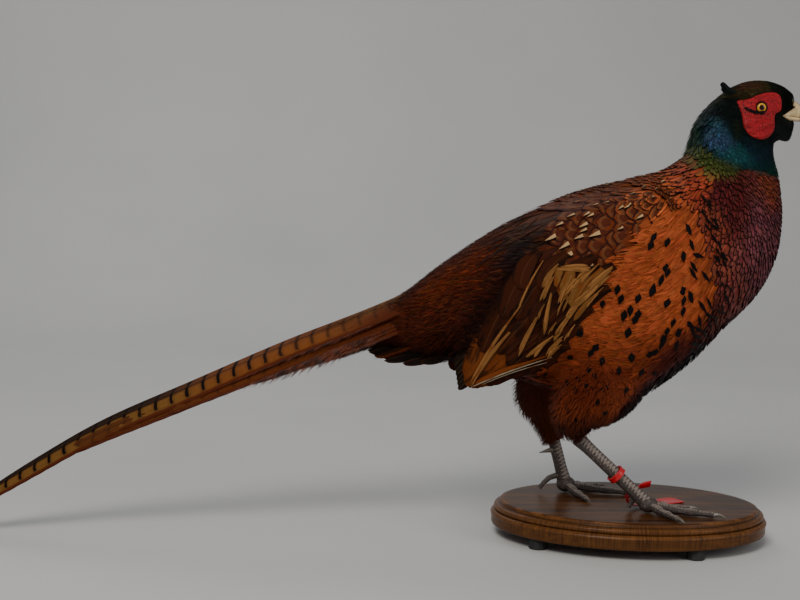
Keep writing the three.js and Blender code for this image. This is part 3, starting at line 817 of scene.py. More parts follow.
def thigh_outer(stages: Points, x: Array, z: Array) -> Array:
    """How far a thigh's outer face stands from the mid-plane at side-view points.

    Args:
        stages: The thigh's middle line and radii.
        x: Places along the bird.
        z: Heights.

    Returns:
        Distances in millimetres.
    """
    best = np.full(np.shape(x), -40.0)
    for cx, cy, cz, radius in along(np.array(stages, float), np.linspace(0, len(stages) - 1.6, 16)):
        away = np.hypot(x - cx, z - cz)
        dome = 0.86 * np.sqrt(np.maximum(radius**2 - away**2, 0)) - 1.5 * np.maximum(away - radius, 0)
        best = np.maximum(best, abs(cy) + dome)
    return best


def body_surface(form: BodyForm, wing: WingPlate) -> Surface:
    """The outer lie of the coat, which rises softly over the folded wings and the thighs.

    Args:
        form: The body's form.
        wing: The folded wing.

    Returns:
        The surface.
    """
    rings = form.rings(form.stations())
    x, z = rings[..., 0], rings[..., 2]
    side = np.sign(rings[..., 1])
    y = np.abs(rings[..., 1])
    for soft, over in ((3.0, wing.outer(x, z) + 1.0),
            (12.0, np.where(side < 0, thigh_outer(THIGH_RIGHT, x, z), thigh_outer(THIGH_LEFT, x, z)))):
        raised = 0.5 * (y + over + np.sqrt((y - over) ** 2 + soft**2)) - 0.2 * soft
        raised = np.maximum(raised, y)
        y = np.where(over > y - 4 * soft, y + (raised - y) * smoothstep(16, 42, y), y)
    rings[..., 1] = side * y
    return Surface(rings)


# ---- Colours of the plumage ----


def inside_distance(outline: Points, x: Array, z: Array) -> Array:
    """How far points lie inside a closed outline; negative outside it.

    Args:
        outline: Corners in order.
        x: Places along the bird.
        z: Heights.

    Returns:
        Distances in millimetres.
    """
    corners = np.array(outline, float)
    ends = np.roll(corners, -1, 0)
    best = np.full(x.shape, 1e9)
    inside = np.zeros(x.shape, bool)
    for (ax, az), (bx, bz) in zip(corners, ends):
        ex, ez = bx - ax, bz - az
        share = np.clip(((x - ax) * ex + (z - az) * ez) / (ex * ex + ez * ez), 0, 1)
        best = np.minimum(best, (x - ax - share * ex) ** 2 + (z - az - share * ez) ** 2)
        crosses = (az > z) != (bz > z)
        slant = ax + (z - az) / (ez if ez else 1e-9) * ex
        inside ^= crosses & (x < slant)
    return np.where(inside, 1.0, -1.0) * np.sqrt(best)


@dataclass(frozen=True)
class Patch:
    """A patch of plumage: its outline from the side, its colour, and how softly it ends."""

    outline: tuple[Pair, ...]
    colour: Colour
    soft: float = 4.0
    amount: float = 1.0

    def paint(self, colours: Array, x: Array, z: Array) -> Array:
        """The colours with this patch over them."""
        cover = smoothstep(-self.soft, self.soft, inside_distance(self.outline, x, z))
        return mix(colours, np.array(self.colour), cover * self.amount)


WING_OUTLINE = ((-82.9, 238.3), (-68.2, 241.2), (-52.5, 241.6), (-35, 241), (-24.5, 239.5), (-34, 216.8),
    (-42.2, 203.7), (-50.5, 192.2), (-54.4, 181.7), (-60.9, 168.6), (-72.5, 153.6), (-101, 143.5),
    (-125.9, 134.4), (-143, 126.3), (-156, 126), (-155, 140), (-145, 160), (-119.5, 178), (-103.2, 205))
FLANK_OUTLINE = ((41.7, 292.1), (28.6, 289.1), (15.7, 282.8), (7.2, 276.5), (-1.2, 267.7), (-9.5, 258),
    (-19.5, 246.5), (-24.5, 239.5), (-34, 216.8), (-42.2, 203.7), (-50.5, 192.2), (-54.4, 181.7),
    (-60.9, 168.6), (-72.5, 153.6), (-84, 146), (-80, 134), (-71, 121), (-66, 99), (-54, 84), (-25, 88),
    (-14, 108), (-4.3, 123.2), (5, 133), (24.8, 147.4), (39.2, 161.7), (46.2, 164.4), (54.6, 175.1),
    (62.5, 194.5), (66.6, 219), (61.8, 243.3), (51.8, 266.4))
SCAPULAR_OUTLINE = ((9.5, 321.2), (17.9, 311.2), (25.4, 300.2), (28.5, 290.8), (15.7, 282.8), (7.2, 276.5),
    (-1.2, 267.7), (-9.5, 258), (-19.5, 246.5), (-26.3, 240.3), (-38.3, 237), (-52.4, 238), (-68.2, 240.2),
    (-82.9, 238.2), (-76, 266), (-86, 282), (-96, 296), (-96, 345), (9.5, 345))
RUMP_OUTLINE = ((-96, 345), (-96, 296), (-86, 282), (-76, 266), (-83, 239.9), (-103.2, 200.7),
    (-119.5, 171.8), (-138, 146), (-150, 118), (-330, 100), (-330, 345))
BELLY_OUTLINE = ((80, 193), (66, 176), (41, 159), (27, 145), (7, 131), (-2, 121), (-16, 106), (-30, 60),
    (110, 60), (110, 205))
THIGH_OUTLINE = ((-150, 128), (-104.9, 140), (-82, 137), (-72, 121), (-68, 99), (-54, 86), (-50, 60),
    (-150, 60))
MANTLE_OUTLINE = ((39.7, 336), (48.9, 324.1), (59.7, 320.1), (66, 319), (58, 303), (50, 286), (41.7, 292.1),
    (28.5, 290.8), (25.4, 300.2), (17.9, 311.2), (9.5, 321.2), (9.5, 345))
HEAD_OUTLINE = ((40, 372), (64, 365), (76, 354), (86, 347), (103, 343), (125, 340), (150, 345), (150, 420),
    (40, 420))
CROWN_OUTLINE = ((50, 380), (62, 384), (66.1, 384.5), (76.6, 385.7), (83, 382.5), (89.8, 386.1),
    (98.5, 389.8), (107, 392.5), (112, 396), (112, 415), (50, 415))
NECK_OUTLINE = ((28, 342), (38, 338), (47, 333.5), (54, 328.5), (61, 324), (70, 321.5), (80, 321.5),
    (88.8, 323.5), (102, 323.5), (117, 318.5), (140, 314), (150, 360), (100, 366), (66, 392), (30, 400))

BASE_COAT = srgb(96, 40, 26)
PLUMAGE = tuple(Patch(outline, srgb(*colour), *rest) for outline, colour,
    *rest in ((((66, 300), (62, 262), (70, 215), (80, 190), (140, 190), (140, 322), (88, 322), (72, 318)),
    (112, 56, 50), 9.0), (((94, 296), (92, 250), (100, 215), (140, 215), (140, 296)), (106, 58, 66), 10.0,
    0.8), (((48, 300), (60, 318), (88, 320), (96, 300), (88, 262), (66, 262)), (84, 32, 30), 9.0),
    (((100, 322), (118, 316), (122, 290), (114, 286), (108, 304)), (136, 64, 36), 6.0, 0.7),
    (((40, 292), (52, 266), (62, 235), (78, 230), (74, 272), (56, 298)), (128, 60, 42), 8.0),
    (MANTLE_OUTLINE, (144, 62, 42), 3.0), (((9, 345), (9.5, 321), (28, 291), (40, 292), (36, 318),
    (30, 345)), (156, 74, 48), 7.0, 0.8), (FLANK_OUTLINE, (182, 90, 54), 2.0),
    # Painted shade: the lower flank softly darker towards the belly.
    (((-60, 168), (8, 168), (62, 176), (64, 172), (40, 158), (-4, 118), (-40, 84), (-90, 120)),
    (104, 42, 22), 34.0), (((24, 168), (50, 190), (70, 190), (60, 165), (30, 140), (4, 124)), (74, 30, 28),
    8.0, 0.8), (SCAPULAR_OUTLINE, (98, 44, 23), 2.0),
    (((-20, 345), (9.5, 345), (28, 291), (10, 280), (-22, 290)), (176, 92, 54), 12.0, 0.85),
    (RUMP_OUTLINE, (74, 32, 17), 4.0), (((-84, 282), (-80, 264), (-92, 244), (-112, 258), (-100, 284)),
    (50, 44, 32), 9.0, 0.5), (((-96, 345), (-20, 345), (-22, 290), (-60, 280), (-80, 268)), (104, 50, 22),
    10.0, 0.85), (((-70, 268), (-84, 262), (-92, 234), (-116, 232), (-108, 262)), (22, 28, 32), 8.0, 0.7),
    (((-112, 276), (-150, 252), (-190, 222), (-186, 206), (-140, 226)), (104, 44, 18), 10.0, 0.6),
    (((-82, 240), (-103, 200), (-120, 171), (-138, 148), (-158, 160), (-140, 200), (-104, 244)), (22, 9, 5),
    14.0, 0.9), (((-138, 146), (-150, 118), (-230, 130), (-230, 168), (-190, 160), (-154, 162)),
    (38, 16, 9), 8.0), (THIGH_OUTLINE, (58, 26, 14), 9.0),
    (((-80, 98), (-60, 104), (-24, 104), (-24, 60), (-80, 60)), (60, 28, 14), 9.0, 0.9),
    (BELLY_OUTLINE, (24, 11, 12), 5.0), (NECK_OUTLINE, (12, 34, 34), 1.6),
    (((36, 343), (46, 341), (56, 337.5), (67, 332), (80, 330), (86, 325), (80, 316), (60, 315), (34, 330)),
    (76, 84, 40), 4.5, 0.9), (((60, 346), (86, 344), (104, 334), (100, 326), (80, 327), (62, 336)),
    (46, 96, 100), 6.0, 0.85), (((56, 372), (74, 366), (76, 350), (58, 352)), (50, 82, 98), 7.0, 0.85),
    (((52, 356), (70, 354), (80, 346), (68, 338), (54, 342)), (60, 78, 112), 6.0, 0.7),
    (((100, 334), (120, 332), (120, 319), (100, 322)), (24, 78, 64), 5.0, 0.8),
    (((104, 352), (124, 352), (122, 334), (106, 338)), (14, 20, 22), 6.0),
    (((38, 372), (47, 372), (48, 346), (38, 342)), (26, 52, 34), 4.0, 0.8),
    (HEAD_OUTLINE, (20, 26, 24), 5.0, 0.97), (((82, 354), (96, 347), (112, 344), (116, 330), (104, 322),
    (94, 334)), (26, 46, 58), 6.0, 0.85), (((76, 366), (82, 366), (86, 350), (78, 348)), (36, 44, 28), 3.0,
    0.7), (CROWN_OUTLINE, (58, 48, 26), 1.6), (((52, 396), (60, 402), (74, 392), (66, 385), (56, 380)),
    (54, 58, 24), 5.0, 0.7), (((72, 399), (96, 402), (102, 395), (80, 391)), (70, 40, 30), 3.0, 0.7),
    (((102, 402), (130, 400), (130, 386), (118, 387), (109, 391.5)), (22, 24, 14), 3.0)))


def plumage_colours(x: Array, z: Array) -> Array:
    """Colours of the coat at side-view points.

    Args:
        x: Places along the bird.
        z: Heights.

    Returns:
        Linear colours.
    """
    colours = np.tile(np.array(BASE_COAT), (*x.shape, 1))
    for patch in PLUMAGE:
        colours = patch.paint(colours, x, z)
    return colours


@dataclass(frozen=True)
class SideView:
    """The height and distance from which the markings' outlines are laid on the round body."""

    x: float = -357.41
    away: float = 1432.56
    z: float = 347.06

    def see(self, points: Array) -> Arrays:
        """Where points appear on the mid-plane, from either side."""
        scale = self.away / (self.away - np.abs(points[..., 1]))
        return self.x + (points[..., 0] - self.x) * scale, self.z + (points[..., 2] - self.z) * scale


SIDE = SideView()


# ---- Vanes ----


@dataclass(frozen=True)
class Vane:
    """The shape of a tract's feathers: shares of their own length and breadth, lifts in millimetres."""

    across: int = 2
    down: int = 4
    root: float = 0.5
    widest: float = 0.6
    blunt: float = 2.0
    camber: float = 0.35
    sink: float = 2.6
    rise: float = 0.5
    span: Pair = (0.0, 1.0)

    def shape(self) -> Arrays:
        """Shares across and down, and the breadth at each share down.

        Returns:
            Shares across, shares down and breadths.
        """
        u = np.linspace(-1, 1, self.across + 1)
        v = 1 - (1 - np.linspace(0, 1, self.down + 1)) ** 1.35
        swell = self.root + (1 - self.root) * smoothstep(0, self.widest, v)
        past = np.clip((v - self.widest) / (1 - self.widest), 0, 0.985)
        return u, v, swell * (1 - past**self.blunt) ** (1 / self.blunt)


@dataclass
class Roots:
    """Where a tract's feathers grow, and their sizes."""

    row: Array
    column: Array
    length: Array
    breadth: Array
    twist: Array
    lift: Array

    def chosen(self, keep: Array) -> "Roots":
        """Only the feathers that are kept."""
        return Roots(*(values[keep] for values in vars(self).values()))

    def sized(self, length: float, breadth: float, lift: float = 0.0) -> "Roots":
        """The same roots with longer, broader or higher feathers.

        Args:
            length: Factor for their length.
            breadth: Factor for their breadth.
            lift: Millimetres added to their height.

        Returns:
            The new roots.
        """
        return replace(self, length=self.length * length, breadth=self.breadth * breadth,
            lift=self.lift + lift)


@dataclass
class Coat:
    """Feathers gathered for one piece."""

    surface: Surface
    sheets: Sheets = field(default_factory=Sheets)

    def ahead(self, roots: Roots, share: float) -> Roots:
        """Roots moved to a share of their feathers' length.

        Args:
            roots: Where the feathers grow, and their sizes.
            share: The share of their length.

        Returns:
            The moved roots, for marks that lie flat on the feathers.
        """
        run = roots.length * share
        row = self.surface.travel(roots.row, roots.column, run * np.cos(roots.twist))
        size = self.surface.look(self.surface.column_size, row, roots.column)
        return replace(roots, row=row, column=roots.column + run * np.sin(roots.twist) / size)

    def tips(self, roots: Roots, share: float = 0.8) -> Array:
        """Points on the surface under the feathers at a share of their length."""
        spots = self.ahead(roots, share)
        return self.surface.look(self.surface.points, spots.row, spots.column)

    def lay(self, roots: Roots, vane: Vane, tint: Array) -> None:
        """Lays feathers on the surface.

        Args:
            roots: Where they grow, and their sizes.
            vane: Their shape.
            tint: One colour for each feather.
        """
        if not len(roots.row):
            return
        u, v, breadth = vane.shape()
        low, high = vane.span
        share = low + (high - low) * v
        run = roots.length[:, None, None] * share[None, :, None]
        side = roots.breadth[:, None, None] / 2 * breadth[None, :, None] * u[None, None, :]
        cos, sin = np.cos(roots.twist)[:, None, None], np.sin(roots.twist)[:, None, None]
        start_row = np.broadcast_to(roots.row[:, None, None], side.shape)
        start_column = np.broadcast_to(roots.column[:, None, None], side.shape)
        row = self.surface.travel(start_row, start_column, run * cos - side * sin)
        column = start_column + (run * sin + side * cos) / self.surface.look(self.surface.column_size, row,
            start_column)
        lift = (roots.lift[:, None, None] - vane.sink * (1 - share)[None, :, None] + vane.rise
            * share[None, :, None] ** 2 - vane.camber * (u**2)[None, None, :])
        points = self.surface.look(self.surface.points, row, column)
        points = points + self.surface.look(self.surface.normals, row, column) * lift[..., None]
        flat = points.reshape(len(roots.row), -1, 3)
        faces, _ = grid(vane.down + 1, vane.across + 1, False)
        first = flat[0][faces[0]]
        facing = np.cross(first[1] - first[0], first[2] - first[0])
        if facing @ self.surface.look(self.surface.normals, row[:1, :1, 0], column[:1, :1, 0])[0, 0] < 0:
            faces = faces[:, ::-1]
        starts = np.arange(len(flat))[:, None, None] * flat.shape[1]
        chart = chart_of((u + 1) / 2, v)
        place = [(roots.column / self.surface.columns) % 1.0, np.clip(roots.row / self.surface.rows, 0, 1)]
        home = np.stack(place, 1) * (1 - PATCH)
        self.sheets.gather(flat.reshape(-1, 3), (faces[None] + starts).reshape(-1, 4),
            vane=np.tile(chart, (len(flat), 1)),
            OFBake=(home[:, None] + PATCH * chart[None]).reshape(-1, 2),
            coat=np.repeat(tint[:, None], flat.shape[1], 1).reshape(-1, 3))


@dataclass(frozen=True)
class Rows:
    """How a tract's feathers are set out: columns round the body, and their sizes by the columns."""

    columns: int
    pitch: float = 1.0
    length: float = 5.0
    breadth: float = 2.4
    jitter: float = 0.12

    def roots(self, surface: Surface, rng: Rng) -> Roots:
        """Staggered rows of roots over the whole surface.

        Args:
            surface: The surface that they grow on.
            rng: The random draws.

        Returns:
            The roots.
        """
        places = np.linspace(0, surface.columns, self.columns, endpoint=False)
        rows, columns, widths = [], [], []
        grid_rows = np.arange(surface.rows - 1.0)
        for number, column in enumerate(places):
            at = np.full(grid_rows.shape, column)
            width = surface.look(surface.column_size, grid_rows, at) * surface.columns / self.columns
            size = surface.look(surface.row_size, grid_rows, at)
            phase = np.cumsum(size / (2 * self.pitch * width))
            wanted = np.arange(math.ceil(phase[0]), phase[-1]) + (0.5 if number % 2 else 0.0)
            row = np.interp(wanted, phase, grid_rows)
            rows.append(row)
            columns.append(np.full(row.shape, column))
            widths.append(np.interp(row, grid_rows, width))
        row, column, width = (np.concatenate(v) for v in (rows, columns, widths))
        count = len(row)
        spread = rng.normal(0, self.jitter, (4, count))
        return Roots(row + spread[0] * width / surface.look(surface.row_size, row, column),
            column + spread[1] * width / surface.look(surface.column_size, row, column) * 0.6,
            width * self.length * (1 + 0.5 * spread[2]), width * self.breadth, spread[3] * 0.8,
            rng.uniform(-0.1, 0.1, count))


# ---- Finishes ----


@dataclass(frozen=True)
class FeatherFinish:
    """Vanes with barbs, in the colours that the coat carries."""

    name: str
    metal: float = 0.0
    rough: float = 0.55
    sheen: float = 0.0
    barbs: float = 16.0
    barb_depth: float = 0.35
    edge: Colour | None = None
    edge_at: float = 0.8
    mottle: float = 0.35
    mottle_scale: float = 160.0

    def build(self) -> Material:
        """The material.

        Returns:
            The material.
        """
        g = Graph(self.name)
        u, v = g.chart("vane")
        side = g.reckon("ABSOLUTE", u - 0.5) * 2
        here = g.place()
        grit = g.noise(here, 900.0, 2.0)
        comb = g.reckon("SINE", (v * self.barbs - side * (self.barbs * 0.4) + grit * 1.2) * TURN)
        mottle = g.noise(here, self.mottle_scale, 3.0)
        shade = 1 - self.barb_depth * 0.5 + comb * (self.barb_depth * 0.5)
        shade = shade * (1 - self.mottle * 0.5 + mottle * self.mottle)
        colour = g.blend(g.tint("coat"), shade * 1.05, 1.0, "MULTIPLY")
        if self.edge:
            past = g.reckon("MAXIMUM", v - 0.55, 0.0) / 0.45
            reach = side * side + past * past + (mottle - 0.5) * 0.3
            colour = g.blend(colour, self.edge, reach.above(self.edge_at, self.edge_at + 0.14))
        return g.surface(Base_Color=colour, Metallic=self.metal,
            Roughness=self.rough + (mottle - 0.5) * 0.2, Sheen_Weight=self.sheen, Sheen_Roughness=0.4,
            Specular_IOR_Level=0.07, Normal=g.bump(comb * 0.5 + grit, 0.00025, 0.6))


@dataclass(frozen=True)
class SkinFinish:
    """The skin and down under the coat, in the coat's colours but darker, as painted shade between feathers.
    """

    name: str = "under_down"

    def build(self) -> Material:
        """The material.

        Returns:
            The material.
        """
        g = Graph(self.name)
        fluff = g.noise(g.place(), 420.0, 4.0)
        colour = g.blend(g.tint("coat"), fluff * 0.9 + 0.1, 1.0, "MULTIPLY")
        return g.surface(Base_Color=colour, Roughness=0.9, Specular_IOR_Level=0.03,
            Normal=g.bump(fluff, 0.0008, 0.8))


@dataclass(frozen=True)
class WattleFinish:
    """Bare red face skin, beaded with fine papillae."""

    name: str = "wattle_skin"

    def build(self) -> Material:
        """The material.

        Returns:
            The material.
        """
        g = Graph(self.name)
        fine = g.noise(g.place(), 1300.0, 3.0, 0.7)
        flush = g.noise(g.place(), 130.0, 3.0)
        colour = g.blend(g.tint("coat"), srgb(58, 4, 8), fine.above(0.5, 0.66) * 0.5)
        colour = g.blend(colour, srgb(90, 8, 14), flush.above(0.45, 0.7) * 0.5)
        return g.surface(Base_Color=colour, Roughness=fine * 0.25 + 0.4, Specular_IOR_Level=0.25,
            Normal=g.bump(fine, 0.0003, 0.7))


@dataclass(frozen=True)
class EyeFinish:
    """A glass eye with a gold ring round a dark pupil."""

    name: str = "glass_eye"
    pupil: float = 0.36
    ring: float = 0.64

    def build(self) -> Material:
        """The material.

        Returns:
            The material.
        """
        g = Graph(self.name)
        out, turn = g.chart("iris")
        rays = g.noise(g.vector(out * 2, turn * 60), 3.0, 3.0)
        gold = g.blend(srgb(170, 112, 34), srgb(214, 168, 74), rays)
        gold = g.blend(srgb(120, 60, 20), gold, out.above(self.pupil, self.pupil + 0.09))
        colour = g.blend(srgb(26, 10, 6), gold, out.above(self.pupil - 0.03, self.pupil + 0.02))
        colour = g.blend(colour, srgb(12, 8, 6), out.above(self.ring, self.ring + 0.05))
        return g.surface(Base_Color=colour, Roughness=0.06, Coat_Weight=0.12, Coat_Roughness=0.02,
            Specular_IOR_Level=0.2)


@dataclass(frozen=True)
class HornFinish:
    """Horn of the bill, claws and spurs, with growth lines along it."""

    name: str
    pale: Colour
    dark: Colour
    rough: float = 0.35
    stretch: Triple = (60.0, 300.0, 300.0)

    def build(self) -> Material:
        """The material.

        Returns:
            The material.
        """
        g = Graph(self.name)
        lines = g.noise(g.place(self.stretch), 1.0, 4.0, 0.6)
        cloud = g.noise(g.place(), 70.0, 3.0)
        colour = g.blend(self.pale, self.dark, lines.above(0.35, 0.75) * 0.6 + cloud.above(0.5, 0.8) * 0.3)
        return g.surface(Base_Color=colour, Roughness=self.rough + (lines - 0.5) * 0.25, Coat_Weight=0.15,
            Normal=g.bump(lines, 0.0002, 0.5))


@dataclass(frozen=True)
class BillFinish:
    """Ivory horn with a darker base, and painted shade in nostril and cutting edge, as the mesh is tinted.
    """

    name: str = "bill_horn"

    def build(self) -> Material:
        """The material.

        Returns:
            The material.
        """
        g = Graph(self.name)
        lines = g.noise(g.place((90.0, 700.0, 420.0)), 1.0, 4.0, 0.6)
        colour = g.blend(g.tint("coat"), srgb(120, 100, 72), lines.above(0.45, 0.8) * 0.45)
        return g.surface(Base_Color=colour, Roughness=0.34 + (lines - 0.5) * 0.25, Subsurface_Weight=0.05,
            Subsurface_Radius=(0.002, 0.0015, 0.001), Normal=g.bump(lines, 0.0002, 0.5))


@dataclass(frozen=True)
class LegFinish:
    """Dry leg skin under its scales, paler on their edges."""

    name: str = "leg_skin"

    def build(self) -> Material:
        """The material.

        Returns:
            The material.
        """
        g = Graph(self.name)
        here = g.place()
        cells = g.wire("ShaderNodeTexVoronoi", {"feature": "DISTANCE_TO_EDGE"},
            {"Vector": here, "Scale": 620.0})
        dust = g.noise(here, 260.0, 4.0)
        dark = g.blend(srgb(22, 18, 16), srgb(54, 46, 42), dust)
        colour = g.blend(srgb(92, 80, 74), dark, cells.above(0.03, 0.16))
        return g.surface(Base_Color=colour, Roughness=0.5 + (dust - 0.5) * 0.3,
            Normal=g.bump(cells.above(0.0, 0.2) + dust * 0.4, 0.0004, 0.8))


@dataclass(frozen=True)
class ScuteFinish:
    """The horny plates on the shanks and toes, with pale worn edges."""

    name: str = "leg_scutes"

    def build(self) -> Material:
        """The material.

        Returns:
            The material.
        """
        g = Graph(self.name)
        here = g.place()
        dust = g.noise(here, 300.0, 4.0)
        worn = g.wire("ShaderNodeNewGeometry", output="Pointiness").above(0.5, 0.56)
        colour = g.blend(srgb(48, 40, 36), srgb(94, 82, 75), dust.above(0.3, 0.7))
        colour = g.blend(colour, srgb(156, 142, 132), worn * 0.55)
        return g.surface(Base_Color=colour, Roughness=0.42 + dust * 0.2, Normal=g.bump(dust, 0.0002, 0.6))


@dataclass(frozen=True)
class WoodFinish:
    """Dark stained and varnished wood with its grain along the board."""

    name: str = "stained_wood"

    def build(self) -> Material:
        """The material.

        Returns:
            The material.
        """
        g = Graph(self.name)
        warp = g.noise(g.place((3.0, 9.0, 9.0)), 1.0, 2.0)
        run = g.place((7.0, 150.0, 260.0))
        bent = g.wire("ShaderNodeVectorMath", {"operation": "ADD"},
            {0: run, 1: g.vector(0, warp * 9, warp * 6)})
        grain = g.noise(bent, 1.0, 5.0, 0.65)
        pores = g.noise(g.place((45.0, 1500.0, 1500.0)), 1.0, 3.0, 0.6)
        colour = g.node("ShaderNodeValToRGB", {"stops": ((0.28, srgb(28, 15, 8)), (0.47, srgb(64, 37, 19)),
            (0.62, srgb(104, 66, 32)), (0.8, srgb(44, 26, 14)))}, {"Fac": grain}).outputs[0]
        colour = g.blend(colour, srgb(26, 11, 8), pores.above(0.56, 0.74) * 0.6)
        around, height = g.chart("edge")
        comb = g.vector(around * 24, height * 0.4)
        lines = g.noise(comb, 1.0, 2.0, 0.6)
        fade = g.noise(g.vector(around * 0.35), 1.0, 2.0)
        rim = height.above(2.1, 2.0)
        end_grain = g.blend(srgb(100, 66, 38), srgb(32, 19, 12), lines.above(0.4, 0.6) * (fade * 0.9 + 0.3))
        colour = g.blend(colour, end_grain, rim * 0.7)
        # Multiplies in the board's painted light: painted highlights on the beads, painted shade in the
        # grooves and under the board.
        colour = g.blend(colour, g.tint("wear"), 0.8, "MULTIPLY")
        return g.surface(Base_Color=colour, Roughness=0.3 + (pores - 0.5) * 0.2 + (grain - 0.5) * 0.1,
            Coat_Weight=0.03, Coat_Roughness=0.25, Specular_IOR_Level=0.1,
            Normal=g.bump(pores * 0.6 + grain * 0.4, 0.0003, 0.5))


@dataclass(frozen=True)
class MouldedFinish:
    """Moulded red plastic or black rubber, with fine scuffs."""

    name: str
    colour: Colour
    worn: Colour
    rough: float

    def build(self) -> Material:
        """The material.

        Returns:
            The material.
        """
        g = Graph(self.name)
        here = g.place()
        scuff = g.noise(here, 500.0, 5.0, 0.65)
        cloud = g.noise(here, 45.0, 2.0)
        colour = g.blend(self.colour, self.worn, scuff.above(0.55, 0.8) * 0.35 + cloud.above(0.4, 0.8) * 0.2)
        return g.surface(Base_Color=colour, Roughness=self.rough + (scuff - 0.5) * 0.25,
            Normal=g.bump(scuff, 0.0001, 0.5))


@dataclass(frozen=True)
class WingFinish:
    """Wing vanes: two tints in soft blotches, with a shaft and dark edges."""

    name: str = "wing_vanes"

    def build(self) -> Material:
        """The material.

        Returns:
            The material.
        """
        g = Graph(self.name)
        u = g.chart("vane")[0]
        across, run = g.chart("run")
        side = g.reckon("ABSOLUTE", u - 0.5) * 2
        grit = g.noise(g.place(), 1100.0, 2.0)
        spot = g.noise(g.vector(across * 1.2, run * 0.3), 1.5, 2.0, 0.5)
        colour = g.blend(g.tint("coat"), g.tint("mark"), spot.above(0.5, 0.62) * 0.7)
        comb = g.reckon("SINE", (run * 9 - side * 5 + grit * 1.4) * TURN)
        colour = g.blend(colour, comb * 0.22 + 0.78, 1.0, "MULTIPLY")
        colour = g.blend(colour, srgb(88, 58, 34), side.above(0.07, 0.03) * 0.35)
        colour = g.blend(colour, srgb(26, 14, 8), side.above(0.74, 0.97) * 0.7)
        return g.surface(Base_Color=colour, Roughness=0.55 + (grit - 0.5) * 0.2, Specular_IOR_Level=0.06,
            Normal=g.bump(comb * 0.5 + side.above(0.14, 0.0), 0.0003, 0.6))


@dataclass(frozen=True)
class TailFinish:
    """Tail vanes: ochre cells between dark bars, with a maroon outer edge."""

    name: str = "tail_vanes"
    pitch: float = 1.42

    def build(self) -> Material:
        """The material.

        Returns:
            The material.
        """
        g = Graph(self.name)
        u = g.chart("vane")[0]
        across, run = g.chart("run")
        here = g.place()
        grit = g.noise(here, 1100.0, 2.0)
        wobble = g.noise(g.vector(across, run * 0.6), 1.6, 2.0)
        bow = (u - 0.5) * (u - 0.5)
        beat = g.reckon("FRACT", run / self.pitch + bow * 1.1 + wobble * 0.16)
        gap = g.reckon("ABSOLUTE", beat - 0.5) * self.pitch
        bar = gap.above(0.17, 0.11)
        soft = gap.above(0.5, 0.1) * 0.35
        colour = g.blend(g.tint("coat"), srgb(60, 32, 16), soft * g.tint_value("bars"))
        streak = g.noise(g.vector(across * 9, run * 0.9), 1.0, 3.0, 0.7)
        colour = g.blend(colour, srgb(36, 19, 10), streak.above(0.5, 0.75) * 0.5)
        colour = g.blend(colour, srgb(16, 8, 5), bar * g.tint_value("bars") * u.above(0.86, 0.74))
        comb = g.reckon("SINE", (run * 8 - across * 6 + grit * 1.3) * TURN)
        colour = g.blend(colour, comb * 0.12 + 0.88, 1.0, "MULTIPLY")
        shaft = g.reckon("ABSOLUTE", u - 0.3).above(0.035, 0.015)
        colour = g.blend(colour, srgb(40, 22, 12), shaft * 0.8)
        colour = g.blend(colour, g.tint("mark"), u.above(0.8, 0.93))
        return g.surface(Base_Color=colour, Roughness=0.55 + (grit - 0.5) * 0.2, Specular_IOR_Level=0.05,
            Normal=g.bump(comb * 0.4 + shaft, 0.0003, 0.6))


# ---- Sub-assemblies ----


WATTLE_OUTLINE = ((73.8, 381.9), (80, 383.2), (85.5, 384.8), (91, 387.2), (97.5, 389.4), (104.5, 390.5),
    (110.5, 389.6), (113.6, 386), (114.2, 379.5), (112.8, 374.6), (108.2, 372.4), (106.9, 368),
    (107.4, 360.5), (105.6, 355.2), (101, 351.4), (94.5, 349.9), (87.5, 351.4), (82, 354.9), (78.4, 361),
    (77.4, 368.8), (75.6, 375.2))
BILL_OUTLINE = ((124.6, 385.4), (134, 383), (134, 364), (122, 367.2), (117.4, 369.2), (114.6, 370.7),
    (118.2, 372.9), (121.2, 374.8), (126.6, 377.6), (125.4, 381.5))


